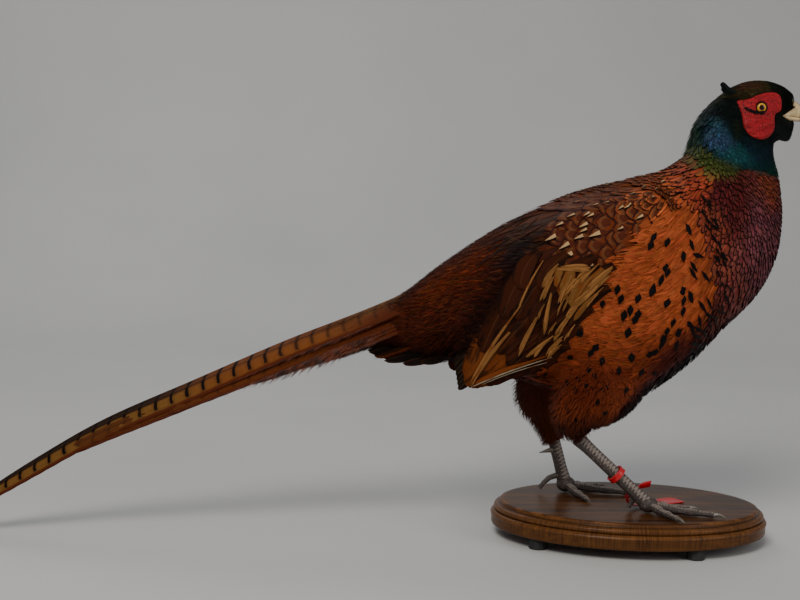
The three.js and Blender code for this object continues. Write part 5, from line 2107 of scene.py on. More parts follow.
@dataclass
class Wings:
    """Both folded wings: flight feathers, coverts and the long pale edge."""

    plate: WingPlate = WingPlate()
    base: tuple[Pair, ...] = ((-88, 247), (-66, 246), (-44, 243), (-27, 236), (-30, 216), (-41, 199),
        (-50, 182), (-58, 166), (-68, 153))
    tips: tuple[Pair, ...] = ((-143.5, 135), (-144.2, 134), (-143.5, 131), (-142.2, 129), (-140, 127.6),
        (-137, 128), (-133, 129.5), (-129, 131), (-124, 133))
    tiers: tuple[Tier, ...] = (Tier(10, 0.22, 1.0, 7.6, 0.6), Tier(9, 0.12, 0.78, 7.6, 1.5),
        Tier(9, 0.04, 0.52, 7.4, 2.3), Tier(9, -0.03, 0.27, 7.0, 3.0))
    streaks: Table = ((-73.3, 237.5, -84.8, 219.2, 2.7), (-76, 227.1, -84, 208, 2.3),
        (-77.4, 209.8, -81.1, 179.5, 3), (-88, 191.5, -100.2, 160.9, 2.8), (-78.9, 170, -87.5, 156.8, 2.1),
        (-66.6, 180.6, -72.8, 172, 2), (-66.9, 165.9, -75.3, 157, 2), (-71, 235, -48.4, 236.1, 3.4),
        (-47.6, 233.8, -64.7, 213.9, 3.1), (-25.5, 237.1, -46.8, 216.5, 3.2),
        (-33.2, 226.1, -57.8, 201.3, 3.4), (-48.9, 210.7, -59.9, 194.3, 3.4),
        (-57.7, 197.9, -70.8, 176.8, 2.4), (-64.9, 173.9, -76.4, 158.8, 2.6),
        (-75.3, 173.2, -91.1, 158.6, 2.6), (-61, 230, -69.1, 208, 1.9), (-40, 237, -52, 222, 2.4),
        (-56, 184, -62, 172, 1.6), (-54, 226, -66, 198, 1.6), (-36, 214, -44, 203, 1.8),
        (-30, 231, -38, 219, 2), (-83, 203, -88, 190, 1.5), (-70, 190, -76, 178, 1.3),
        (-64, 212, -70, 196, 1.4))
    near_scale: float = 1.0545
    rows: int = 15
    columns: int = 7
    primaries: int = 6

    def actual(self, flat: Array) -> Array:
        """Side-view points as they lie on the wing, nearer than the mid-plane."""
        eye = np.array([SIDE.x, SIDE.z])
        return eye + (flat - eye) / self.near_scale

    def blade(self, root: Array, tip: Array, half: float, bow: float, lift: Pair, pointed: float) -> Arrays:
        """One flight feather as it lies on the plate.

        Args:
            root: Its root from the side.
            tip: Its tip from the side.
            half: Half its breadth.
            bow: How far its middle bows upwards.
            lift: Height over the plate at the root and at the tip.
            pointed: How pointed the tip is.

        Returns:
            Points on the left side, shares across and along, and millimetres across and along.
        """
        v = 1 - (1 - np.linspace(0, 1, self.rows)) ** 1.25
        u = np.linspace(-1, 1, self.columns)
        length = float(np.linalg.norm(tip - root))
        run = (tip - root) / length
        up = np.array([-run[1], run[0]]) * (1 if run[0] < 0 else -1) * -1
        spine = root + (tip - root) * v[:, None] + up * (bow * np.sin(math.pi * v))[:, None]
        past = np.clip((v - 0.78) / 0.22, 0, 0.99)
        width = half * (0.5 + 0.5 * smoothstep(0, 0.5, v)) * (1 - past**pointed) ** (1 / pointed)
        sheet = ribbon(spine, up, width, u)
        y = self.plate.outer(sheet[..., 0], sheet[..., 1]) + lift[0] + (lift[1] - lift[0]) * v[:, None]
        y = y - 0.7 * u[None] ** 2 + 0.25 * np.exp(-((u[None] / 0.15) ** 2))
        points = np.stack([sheet[..., 0], y, sheet[..., 1]], -1)
        shares = chart_of((u + 1) / 2, v)
        size = np.stack([width[:, None] * u / 10, v[:, None] * length / 10 + 0 * u], -1).reshape(-1, 2)
        return points, shares, size

    def build(self) -> None:
        """Lays both wings."""
        finish = WingFinish().build()
        gold, brown = rgb(170, 118, 70), rgb(60, 26, 11)
        rust, pale = rgb(122, 62, 28), rgb(176, 160, 134)
        olive, black = rgb(34, 26, 19), rgb(18, 9, 6)
        tawny = rgb(124, 84, 44)
        for side in Side:
            rng = np.random.default_rng(SEED + 7)
            wing = Sheets()

            def add(made: Arrays, colour: Array, dark: Array) -> None:
                """Adds one feather.

                Args:
                    made: Points, shares and measures.
                    colour: Its tint.
                    dark: Its darker tint.
                """
                shape, shares, size = made
                wing.add(shape * np.array([1, side.value, 1]), vane=shares,
                    run=size + np.array([rng.uniform(0, 40), rng.uniform(0, 90)]),
                    coat=np.tile(colour, (len(shares), 1)), mark=np.tile(dark, (len(shares), 1)))

            for number in range(self.primaries):
                share = number / (self.primaries - 1)
                hidden = 10.0 * (side is Side.LEFT)
                root = self.actual(np.array([-108 + 8 * share, 186 - 18 * share]))
                tip = self.actual(np.array([-153 + 3 * share + hidden, 144 - 20 * share + hidden]))
                add(self.blade(root, tip, 4.4, 3.0, (-1.6, -0.6 + 0.2 * number), 2.2), olive, black)
                edge = self.blade(root, tip, 0.35, 3.0, (-0.9, 0.1 + 0.2 * number), 2.2)
                add(edge, rgb(88, 66, 46), olive)
            base, tips = np.array(self.base, float), np.array(self.tips, float)
            for tier in self.tiers:
                for number in range(tier.count):
                    q = 1 - number / (tier.count - 1)
                    place = np.array([q * (len(base) - 1)])
                    b, t = along(base, place)[0], along(tips, place)[0]
                    root = self.actual(b + (t - b) * (tier.start + rng.uniform(-0.01, 0.01)))
                    end = tier.end - (0.1 * q if tier.end < 1 else 0) + rng.uniform(-0.012, 0.012)
                    tip = self.actual(b + (t - b) * end)
                    bottom = tier.lift + 0.75 * (1 - q)
                    made = self.blade(root, tip, tier.half, 3.5, (bottom - 1.3, bottom), 2.4)
                    ground = rust * 0.85 if tier.end == 1 and q < 0.85 else brown
                    add(made, ground * rng.uniform(0.8, 1.2), black)
            for root, tip, half, lift, colour in (
                ((-72, 236), (-70, 218), 5.5, 3.9, tawny), ((-60, 238), (-66, 208), 6.5, 3.95, tawny),
                ((-48, 236), (-60, 203), 6.5, 4.0, tawny), ((-34, 236), (-56, 204), 5.5, 4.05, tawny),
                ((-54, 233), (-63, 206), 1.7, 4.15, brown), ((-42, 228), (-55, 206), 1.6, 4.15, brown),
                ((-66, 234), (-72, 214), 1.6, 4.15, brown), ((-38, 214), (-56, 190), 2.6, 4.1, tawny),
            ):
                ends = (self.actual(np.array(p, float)) for p in (root, tip))
                add(self.blade(*ends, half, 0.8, (lift, lift), 1.8), colour, rust)
            for x0, z0, x1, z1, half in self.streaks:
                low, high = (self.actual(np.array(p)) for p in ((x0, z0), (x1, z1)))
                along_it = unit(high - low)
                across = np.array([-along_it[1], along_it[0]])
                for number in range(max(2, round(half * 1.4))):
                    off = rng.uniform(-0.75, 0.75) * half
                    slip = rng.normal(0, 2.4, 2)
                    root = low + across * off * 0.5 + along_it * slip[0]
                    tip = high + across * off + along_it * slip[1]
                    thin = half * rng.uniform(0.34, 0.6)
                    lift = 4.2 + 0.3 * rng.random()
                    add(self.blade(root, tip, thin, 0.6, (lift, lift + 0.3), 1.5),
                        gold * rng.uniform(0.6, 1.15), tawny)
            for root, tip, half, lift, colour in (
                ((-84, 241), (-104, 198), 0.9, 4.4, gold), ((-102, 202), (-141, 130), 1.3, 4.4, gold * 0.85),
                ((-110, 178), (-141, 128), 2.2, 4.0, gold * 0.7), ((-114, 172), (-140, 127), 0.7, 4.9, gold),
                ((-72, 156.5), (-140, 127), 0.7, 4.2, pale), ((-76, 151.5), (-130, 130), 0.5, 3.6, pale),
                ((-70, 160), (-138, 129), 1.4, 3.8, rust), ((-90, 152), (-139, 128), 3.0, 3.4, rust),
            ):
                ends = (self.actual(np.array(p, float)) for p in (root, tip))
                add(self.blade(*ends, half, 1.5, (lift, lift - 0.6), 2.0), colour, rust)
            piece = wing.piece(f"wing_vanes_{side.word}")
            turn_to(piece, (0, side.value, 0))
            keep_piece(piece, finish, "wing_feathers", f"wing_{side.word}")


def centripetal(points: Points, count: int) -> Array:
    """A smooth line through unevenly spaced points, as evenly placed samples.

    Args:
        points: Its corners.
        count: How many samples.

    Returns:
        The samples.
    """
    corners = np.array(points, float)
    padded = np.concatenate([[2 * corners[0] - corners[1]], corners, [2 * corners[-1] - corners[-2]]])
    fine = []
    for p0, p1, p2, p3 in zip(padded, padded[1:], padded[2:], padded[3:]):
        t0 = 0.0
        t1, t2, t3 = np.cumsum([np.linalg.norm(b - a) ** 0.5 for a, b in ((p0, p1), (p1, p2), (p2, p3))])
        t = np.linspace(t1, t2, 60)[:, None]
        a1 = (t1 - t) / (t1 - t0) * p0 + (t - t0) / (t1 - t0) * p1
        a2 = (t2 - t) / (t2 - t1) * p1 + (t - t1) / (t2 - t1) * p2
        a3 = (t3 - t) / (t3 - t2) * p2 + (t - t2) / (t3 - t2) * p3
        b1 = (t2 - t) / (t2 - t0) * a1 + (t - t0) / (t2 - t0) * a2
        b2 = (t3 - t) / (t3 - t1) * a2 + (t - t1) / (t3 - t1) * a3
        fine.append((t2 - t) / (t2 - t1) * b1 + (t - t1) / (t2 - t1) * b2)
    return evenly(np.concatenate(fine), count)


@dataclass(frozen=True)
class TailBlade:
    """One tail feather on each side: its tip's place along the ridge, and its width and slope."""

    name: str
    tip: float
    inner: Pair
    width: float
    slope: float


class BarbTree(Graph):
    """Geometry Nodes that set one barb on every point of a line, turned and sized by the points."""

    def __init__(self, name: str, material: Material) -> None:
        """Builds the tree.

        Args:
            name: The tree's name.
            material: The finish of what it makes.
        """
        self.tree = bpy.data.node_groups.new(name, "GeometryNodeTree")
        for label, kind in (("Geometry", "Geometry"), ("Piece", "Object"), ("Size", "Float"),
                ("Size spread", "Float"), ("Seed", "Int")):
            self.tree.interface.new_socket(label, in_out="INPUT", socket_type=f"NodeSocket{kind}")
        self.tree.interface.new_socket("Geometry", in_out="OUTPUT", socket_type="NodeSocketGeometry")
        given = {socket.name: Wire(self, socket) for socket in self.node("NodeGroupInput").outputs}
        points = self.wire("GeometryNodeMeshToPoints", None, {"Mesh": given["Geometry"]})
        shape = self.wire("GeometryNodeObjectInfo", None, {"Object": given["Piece"]}, "Geometry")
        turn, stretch = (self.wire("GeometryNodeInputNamedAttribute", {"data_type": "FLOAT_VECTOR"},
            {"Name": label}) for label in ("turn", "stretch"))
        spread = {2: 1 - given["Size spread"], 3: 1 + given["Size spread"], "Seed": given["Seed"]}
        amount = self.wire("FunctionNodeRandomValue", {"data_type": "FLOAT"}, spread, 1) * given["Size"]
        scale = self.wire("ShaderNodeVectorMath", {"operation": "SCALE"}, {0: stretch, "Scale": amount})
        placed = self.wire("GeometryNodeInstanceOnPoints", None,
            {"Points": points, "Instance": shape, "Scale": scale, "Rotation": turn})
        real = self.wire("GeometryNodeRealizeInstances", None, {0: placed})
        dressed = self.wire("GeometryNodeSetMaterial", None, {0: real, "Material": material})
        self.node("NodeGroupOutput", None, {0: dressed})

    def grow(self, name: str, places: Array, piece: Piece, size: float, spread: float) -> Piece:
        """Sets the piece on points.

        Args:
            name: The new piece's name.
            places: A row of twelve for each: its point, where its +X and its +Z turn, and its sizes.
            piece: What is set on them; it is removed by the caller.
            size: Size of the piece.
            spread: How much the sizes differ.

        Returns:
            The plain mesh object.
        """
        grown = make_piece(name, places[:, :3], np.zeros((0, 4), int))
        for label, rows in (("turn", eulers(places[:, 3:6], places[:, 6:9])), ("stretch", places[:, 9:])):
            layer = grown.data.attributes.new(label, "FLOAT_VECTOR", "POINT")
            layer.data.foreach_set("vector", rows.astype(np.float32).reshape(-1))
        modifier = grown.modifiers.new("rows", "NODES")
        modifier.node_group = self.tree
        values = {"Piece": piece, "Size": size, "Size spread": spread, "Seed": SEED}
        for item in self.tree.interface.items_tree:
            if item.in_out == "INPUT" and item.name in values:
                modifier[item.identifier] = values[item.name]
        plain_mesh(grown)
        grown.data.shade_smooth()
        return grown


def eulers(run: Array, up: Array) -> Array:
    """Euler angles that turn +X to run and +Z towards up.

    Args:
        run: Directions of +X.
        up: Rough directions of +Z.

    Returns:
        Angles, as rows.
    """
    turned = []
    for along_x, towards in zip(run, up):
        x = Vector(along_x).normalized()
        y = Vector(towards).cross(x).normalized()
        z = x.cross(y)
        turned.append(Matrix((x, y, z)).transposed().to_euler())
    return np.array(turned, float)


@dataclass
class Tail:
    """The long tail: barred blades under a ridge, each edged with loose barbs."""

    ridge: tuple[Pair, ...] = ((-185, 218), (-240, 193.6), (-300, 169), (-380, 132.5), (-456, 97),
        (-512, 63), (-572, 22))
    blades: tuple[TailBlade, ...] = (TailBlade("tail_middle", 1.0, (0.15, 0.0), 27.0, 26.0),
        TailBlade("tail_side_1", 0.79, (10, -8), 19, 44),
        TailBlade("tail_side_2", 0.59, (13, -12.8), 16, 48),
        TailBlade("tail_side_3", 0.4, (15, -17), 15, 52), TailBlade("tail_side_4", 0.108, (8, -43), 15, 12))
    coverts: tuple[tuple[Triple, Triple], ...] = (((-160, 15, 167), (-205, 17, 152.5)),
        ((-165, 12, 170), (-220.5, 13, 154)), ((-170, 8, 173), (-212, 9, 156)),
        ((-175, 5, 176), (-233, 6, 160)), ((-156, 18, 166), (-190, 20, 155)))
    steepening: float = 20.0
    thickness: float = 1.3
    arch: float = 0.06
    length_cm: float = 43.5
    barb_length: float = 0.011
    barb_spread: float = 0.3
    barb_count: int = 430
    rows: int = 170
    columns: int = 17

    def blade(self, blade: TailBlade) -> Arrays:
        """The right-hand blade's upper face.

        Args:
            blade: Which blade.

        Returns:
            Points by row and column, shares across and along, and centimetres across and along.
        """
        t = np.linspace(0, 1, self.rows)
        line = centripetal(self.ridge, 1001)
        root = line[np.round(t * blade.tip * 1000).astype(int)]
        steep = self.steepening * t * blade.tip if blade.slope < 45 else 0 * t
        angle = np.radians(blade.slope + steep)[:, None]
        narrow = np.sqrt(np.maximum(1 - t**8, 0)) * (1 - 0.28 * blade.tip * t)
        width = blade.width * np.maximum(0.06, narrow)[:, None]
        closing = np.clip((t - 0.9) / 0.1, 0, 1)[:, None]
        across = np.linspace(0, 1, self.columns)[None]
        lift = self.arch * blade.width * np.sin(math.pi * across) + self.thickness / 2
        shaft = 0.5 * np.exp(-(((across - 0.3) / 0.035) ** 2)) * (1 - 0.6 * t[:, None])
        ripple = 0.22 * np.sin(t[:, None] * blade.tip * 190 + across * 7) * across
        lift = lift + shaft + ripple - 0.5 * across**6
        y = blade.inner[0] * (1 - 0.4 * closing) + across * width * np.cos(angle)
        y = y + (lift - lift[:, :1]) * np.sin(angle)
        z = blade.inner[1] * (1 - 0.5 * (t * blade.tip)[:, None])
        z = z - across * width * np.sin(angle) + lift * np.cos(angle)
        x = root[:, :1] + 0 * across
        points = np.stack([x, -np.maximum(y, 0.15), root[:, 1:] + z], -1)
        shares = np.stack(np.broadcast_arrays(across, t[:, None]), -1)
        run = t[:, None] * blade.tip * self.length_cm + 0 * across
        return points, shares, np.stack([across * width / 10, run], -1)

    def barb(self) -> Piece:
        """One loose barb, a thin curved strip along +X, 1 m long before it is sized.

        Returns:
            The barb.
        """
        v = np.linspace(0, 1, 5)
        width = 0.03 * np.array([1.0, 0.9, 0.75, 0.5, 0.12])
        spine = np.stack([v, 0 * v, -0.22 * v**2], 1)
        sheet = ribbon(spine, np.array(Y_UP), width, SIDES)
        faces = grid(5, 2, False)[0]
        return make_piece("barb", sheet.reshape(-1, 3), faces, {"vane": chart_of(EDGES, v)}, loose=True)

    def undertail(self) -> None:
        """The dark pointed feathers that hang under the tail's root."""
        hanging = Sheets()
        v, u = np.linspace(0, 1, 12), np.linspace(-1, 1, 5)
        width = 5.4 * (0.5 + 0.5 * smoothstep(0, 0.5, v)) * np.sqrt(np.clip(1 - v**5, 0, 1))
        for side in Side:
            for root, tip in self.coverts:
                low, high = (np.array(p) * np.array([1, side.value, 1]) for p in (root, tip))
                spine = low + (high - low) * v[:, None] - np.array([0, 0, 3.5]) * np.sin(math.pi * v)[:,
                    None]
                across = unit(np.array([0.25, 0.55 * side.value, 0.8]))
                sheet = ribbon(spine, across, width, u)
                hanging.add(sheet, vane=chart_of((u + 1) / 2, v), coat=flat_tint(60, 32, 17, 11))
        piece = hanging.piece("undertail_vanes")
        finish = FeatherFinish("undertail_vanes", 0.0, 0.5, 0.0, 24.0, 0.4, srgb(70, 36, 18), 0.9)
        keep_piece(piece, finish.build(), "tail_feathers")

    def build(self) -> None:
        """Builds the blades and their fringes."""
        self.undertail()
        finish = TailFinish().build()
        fringe = FringeFinish().build()
        tree = BarbTree("tail_fringe", fringe)
        barb = self.barb()
        rng = np.random.default_rng(SEED + 11)
        tan, ochre = rgb(110, 64, 36), rgb(116, 80, 40)
        cocoa, dark = rgb(92, 50, 27), rgb(40, 25, 15)
        maroon, amber = rgb(84, 37, 17), rgb(122, 71, 34)
        places = []
        for number, blade in enumerate(self.blades):
            points, shares, run = self.blade(blade)
            t = shares[..., 1] * blade.tip
            u = shares[..., 0]
            tint = mix(np.tile(ochre, (*t.shape, 1)), amber, smoothstep(0.56, 0.4, t))
            tint = mix(tint, cocoa, smoothstep(0.26, 0.1, t) * 0.8)
            top = smoothstep(0.46, 0.36, u) * (number == 0)
            tint = mix(tint, mix(np.tile(tan, (*t.shape, 1)), dark, smoothstep(0.4, 0.6, t)), top)
            tint = mix(tint, maroon, smoothstep(0.2, 0.06, t) * smoothstep(0.4, 0.7, u))
            tint = mix(tint, ochre * 0.8, smoothstep(0.24, 0.1, t) * smoothstep(0.5, 0.3, u) * 0.7)
            tint = mix(tint, maroon * 0.9, np.full(t.shape, 0.0 if number == 0 else 0.75))
            tint = mix(tint, dark * 0.8, np.full(t.shape, 0.9 * (number == 4)))
            mark = np.tile(maroon * 0.8, (*t.shape, 1))
            strength = (0.3 + 0.7 * smoothstep(0.1, 0.4, t)) * (1.0 if number == 0 else 0.3)
            bars = np.repeat((strength * smoothstep(0.0, 0.04, t))[..., None], 3, -1)
            for side in Side:
                turned = points * np.array([1, -side.value, 1])
                faces, _ = grid(self.rows, self.columns, False)
                under = turned - np.array([0, 0, self.thickness * 0.7])
                both = np.concatenate([turned.reshape(-1, 3), under.reshape(-1, 3)])
                all_faces = np.concatenate([faces, faces[:, ::-1] + turned[..., 0].size])
                maps, tints = ({key: np.tile(rows.reshape(-1, rows.shape[-1]), (2, 1)) for key,
                    rows in table.items()} for table in ({"vane": shares, "run": run},
                    {"coat": tint, "mark": mark, "bars": bars}))
                piece = make_piece(f"{blade.name}_vanes_{side.word}", both, all_faces, maps, tints)
                turn_to(piece, (0, 0, 1), len(faces))
                keep_piece(piece, finish, "tail_feathers", f"{blade.name}_{side.word}")
                rows = np.linspace(2, self.rows - 3, int(self.barb_count * blade.tip)).astype(int)
                edge = turned[rows, -1]
                inner = turned[rows, -5]
                out = unit(edge - inner)
                back = unit(np.gradient(turned[:, -1], axis=0))[rows]
                way = unit(out * 0.75 + back * 0.85 + rng.normal(0, 0.12, out.shape))
                along_tail = t[rows, 0]
                size = smoothstep(0.02, 0.2, along_tail) * (1 - 0.8 * smoothstep(0.2, 0.5, along_tail)) + 0.1
                size = np.repeat(size[:, None] * (0.9 if number else 0.7), 3, 1)
                up = np.cross(out, back) * -side.value
                places.append(np.concatenate([edge - out * 1.2, way, up, size], 1))
        grown = tree.grow("tail_fringe", np.concatenate(places), barb, self.barb_length, self.barb_spread)
        keep_piece(grown, fringe, "tail_feathers")
        bpy.data.objects.remove(barb)


@dataclass(frozen=True)
class FringeFinish:
    """Loose barbs of the tail's edge: dull maroon-brown, a little glossy."""

    name: str = "fringe_barbs"

    def build(self) -> Material:
        """The material.

        Returns:
            The material.
        """
        g = Graph(self.name)
        cloud = g.noise(g.place(), 120.0, 3.0)
        fine = g.noise(g.place(), 1500.0, 2.0)
        colour = g.blend(srgb(40, 18, 10), srgb(100, 48, 26), cloud.above(0.35, 0.7) + (fine - 0.5) * 0.4)
        return g.surface(Base_Color=colour, Roughness=0.5 + (fine - 0.5) * 0.2, Specular_IOR_Level=0.3)


@dataclass(frozen=True)
class Foot:
    """One leg below the feathers: its side, its joints and its toes' directions."""

    side: Side
    joint: Triple
    ankle: Triple
    toes: Triple


@dataclass
class Legs:
    """Shanks, toes and scutes."""

    feet: tuple[Foot, ...] = (Foot(Side.RIGHT, RIGHT_JOINT, RIGHT_ANKLE, (-63, -19, 10)),
        Foot(Side.LEFT, (-49, 42, 38.4), (-69.5, 42, 108.5), (27, -12, -74)))
    ground: float = 30.8
    lengths: Triple = (35, 54, 37)
    names: tuple[str, str, str] = ("outer", "middle", "inner")
    knuckles: Triple = (5.2, 3.6, 2.9)
    shank: Pair = (4.4, 5.8)
    pad: Triple = (8.6, 8.2, 7.0)
    scute_rows: int = 24
    scute_spread: float = 0.03
    toe_scute: float = 2.6

    def shank_line(self, foot: Foot, count: int) -> Array:
        """The shank's middle line, from the ankle down."""
        share = np.linspace(-0.16, 1, count)[:, None]
        return np.array(foot.ankle) + (np.array(foot.joint) - np.array(foot.ankle)) * share

    def shank_size(self, t: Array) -> Array:
        """How much thicker the shank is at its ankle and joint."""
        return 1 + 0.18 * np.exp(-((t / 0.1) ** 2)) + 0.2 * np.exp(-(((1 - t) / 0.12) ** 2))

    def toe_line(self, foot: Foot, degrees: float, length: float, count: int) -> Array:
        """The middle line of a toe, raised at each knuckle.

        Args:
            foot: Which foot.
            degrees: The direction of the toe.
            length: Its length.
            count: How many points.

        Returns:
            Points of the line.
        """
        run = np.array([math.cos(math.radians(degrees)), math.sin(math.radians(degrees))])
        level = self.ground + 0.25
        rise = [foot.joint[2] - level - 0.6, *self.knuckles, 2.3]
        corners = [(*(np.array(foot.joint[:2]) + run * (2 + length * i / 4)), level + z) for i,
            z in enumerate(rise)]
        return polyline(corners, count)

    def toe_size(self, t: Array) -> Array:
        """A toe's radius, fuller at its pads."""
        return (3.9 - 1.6 * t) * (1 + 0.1 * np.cos(t * 6 * math.pi))

    def plate(self) -> Piece:
        """One curved scute, 1 m broad before it is sized, with a raised lower lip.

        Returns:
            The scute.
        """
        a = np.radians(np.linspace(-52, 52, 9))
        rows = np.array([-0.5, -0.2, 0.2, 0.42, 0.5])
        rise = np.array([0.94, 1.03, 1.1, 1.13, 0.92])
        points = np.stack(np.broadcast_arrays(rows[:, None], np.sin(a)[None] * rise[:, None],
            np.cos(a)[None] * rise[:, None] + 0 * rows[:, None]), -1)
        return make_piece("scute", points.reshape(-1, 3), grid(5, 9, False)[0][:, ::-1], loose=True)

    def build(self) -> None:
        """Builds both legs."""
        skin, plates = LegFinish().build(), ScuteFinish().build()
        tree = BarbTree("leg_scutes", plates)
        scute = self.plate()
        for foot in self.feet:
            word = foot.side.word
            line = self.shank_line(foot, 60)
            t = np.linspace(0, 1, 60)
            swell = self.shank_size(t)
            limbs = [Tube(line, self.shank[0] * swell * 0.93, self.shank[1] * swell * 0.93, 28,
                X_UP).build()]
            around = np.linspace(0.12, math.pi - 0.12, 22)
            reach = self.pad[0] * -np.cos(around)[:, None]
            pad_line = np.array(foot.joint) + np.array([1, 0, -0.2]) + np.array([1, 0, 0]) * reach
            bulge = np.sin(around)
            limbs.append(Tube(pad_line, self.pad[1] * bulge, self.pad[2] * bulge, 28).build())
            shank = face_out(make_piece(f"shank_skin_{word}", *joined(*limbs)))
            keep_piece(shank, skin, "leg_scales", f"shank_{word}")
            places = []
            front = unit(np.cross(line[-1] - line[0], np.array(Y_UP)))
            front = front if front[0] > 0 else -front
            run = unit(line[-1] - line[0])
            for row in range(self.scute_rows):
                share = 0.03 + 0.92 * row / (self.scute_rows - 1)
                centre = line[0] + (line[-1] - line[0]) * share
                size = float(self.shank_size(np.array([share]))[0])
                for lean, slide in ((-0.75, 0.0), (0.75, 1.3), (-2.6, 0.9), (2.6, 0.4)):
                    up = unit(front + np.array([0, lean, 0]))
                    sunk, deep = (0.0, 5.0) if abs(lean) < 1 else (-0.5, 4.6)
                    place = centre + run * slide + up * sunk
                    places.append([*place, *run, *up, 2.6, 3.5 * size, deep * size])
            for name, degrees, length in zip(self.names, foot.toes, self.lengths):
                toe = self.toe_line(foot, degrees, length, 70)
                share = np.linspace(0, 1, 70)
                radius = self.toe_size(share)
                shape, faces = Tube(toe, radius * 0.94, radius * 0.94, 24).build()
                shape[:, 2] = np.maximum(shape[:, 2], self.ground + 0.2)
                piece = face_out(make_piece(f"toe_skin_{name}_{word}", shape, faces))
                keep_piece(piece, skin, "leg_scales", f"toe_{name}_{word}")
                tangent = unit(np.gradient(toe, axis=0))
                for at in np.linspace(6, 67, int(length / self.toe_scute)).astype(int):
                    up = np.cross(tangent[at], unit(np.cross([0.0, 0.0, 1.0], tangent[at])))
                    places.append([*toe[at], *tangent[at], *up, 2.1, radius[at], radius[at]])
            grown = tree.grow(f"scutes_{word}", np.array(places), scute, 1 / MM, self.scute_spread)
            keep_piece(grown, plates, "leg_scales")
        bpy.data.objects.remove(scute)


@dataclass
class Mount:
    """The oval board with its moulded edge and rubber feet."""

    centre: Pair = (0.0, 3.0)
    turn: float = -6.0
    half: Pair = (111.5, 85.0)
    thickness: float = 21.5
    band: float = 8.5
    bottom: float = 9.3
    sides: int = 200

    def profile(self) -> Array:
        """The moulded edge from the top face down, as reach and height.

        Returns:
            Points of the profile.
        """

        def arc(centre: Pair, radius: float, start: float, end: float, count: int) -> list:
            """Points of an arc."""
            turns = np.radians(np.linspace(start, end, count))
            return [(centre[0] + radius * math.cos(a), centre[1] + radius * math.sin(a)) for a in turns]

        top = self.thickness
        return np.array([(-30.0, top), (-4.0, top), (-0.6, top), (0.35, top - 0.3), (0.9, top - 1.0),
            (1.0, top - 2.2), (1.1, self.band + 9.7), (1.6, self.band + 9.3)]
            + arc((3.4, self.band + 6.6), 2.6, 95, -80, 14) + arc((5.0, self.band + 0.3), 3.8, 92, 8, 9)
            + [(8.0, self.band + 0.2), (8.0, self.band - 0.8), (8.0, 4.0), (8.0, 1.5), (7.5, 0.5),
            (6.6, 0.0), (-20.0, 0.0)])

    def build(self) -> None:
        """Builds the board, and dresses the feet."""
        profile = self.profile()
        turn = round_turn(self.sides)
        c, s = np.cos(turn)[None], np.sin(turn)[None]
        flat_x = (self.half[0] + profile[:, :1]) * c
        flat_y = (self.half[1] + profile[:, :1]) * s
        a = math.radians(self.turn)
        x = self.centre[0] + flat_x * math.cos(a) - flat_y * math.sin(a)
        y = self.centre[1] + flat_x * math.sin(a) + flat_y * math.cos(a)
        z = self.bottom + profile[:, 1:] + 0 * c
        rings = np.stack([x, y, z], -1)
        points, closed = closed_rings(rings)
        # Painted light and shade on the moulded edge, row by row of the profile: the rounded top corner and
        # the beads lighter as painted highlights, the step under the top and the groove between the beads
        # darker as painted shade, and the top face darker than the beads.
        wear = np.ones((len(profile), self.sides))
        for first, last, level in ((0, 2, 0.7), (2, 6, 1.35), (8, 32, 1.35), (6, 8, 0.45), (20, 23, 0.6)):
            wear[first:last] = level
        # The top's middle stays at 1, and the underside is darker as painted shade.
        shade = np.concatenate([[1.0], wear.reshape(-1), [0.6]])
        tint = np.stack([shade, shade * 0.96, shade * 0.9], 1)
        around = np.concatenate([[0.0], np.tile(np.abs(turn / math.pi - 1) * 32, len(profile)), [0.0]])
        tall = np.concatenate([[2.2], np.repeat(profile[:, 1] / 10, self.sides), [0.0]])
        tall[1 : 1 + 3 * self.sides] += 0.1
        chart = {"edge": np.stack([around, tall], 1)}
        board = face_out(make_piece("plinth_board", points, closed, chart, {"wear": tint}))
        keep_piece(board, WoodFinish().build(), "plinth_wood", "plinth")
        rubber = MouldedFinish("black_rubber", srgb(22, 22, 22), srgb(58, 56, 54), 0.7).build()
        for number in range(1, 5):
            dress_node(f"plinth_foot_{number}", rubber)


def dress_node(name: str, material: Material) -> None:
    """Gives a CAD node its finish.

    Args:
        name: The node's name.
        material: The finish.
    """
    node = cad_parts[name]
    node.data.materials.clear()
    node.data.materials.append(material)


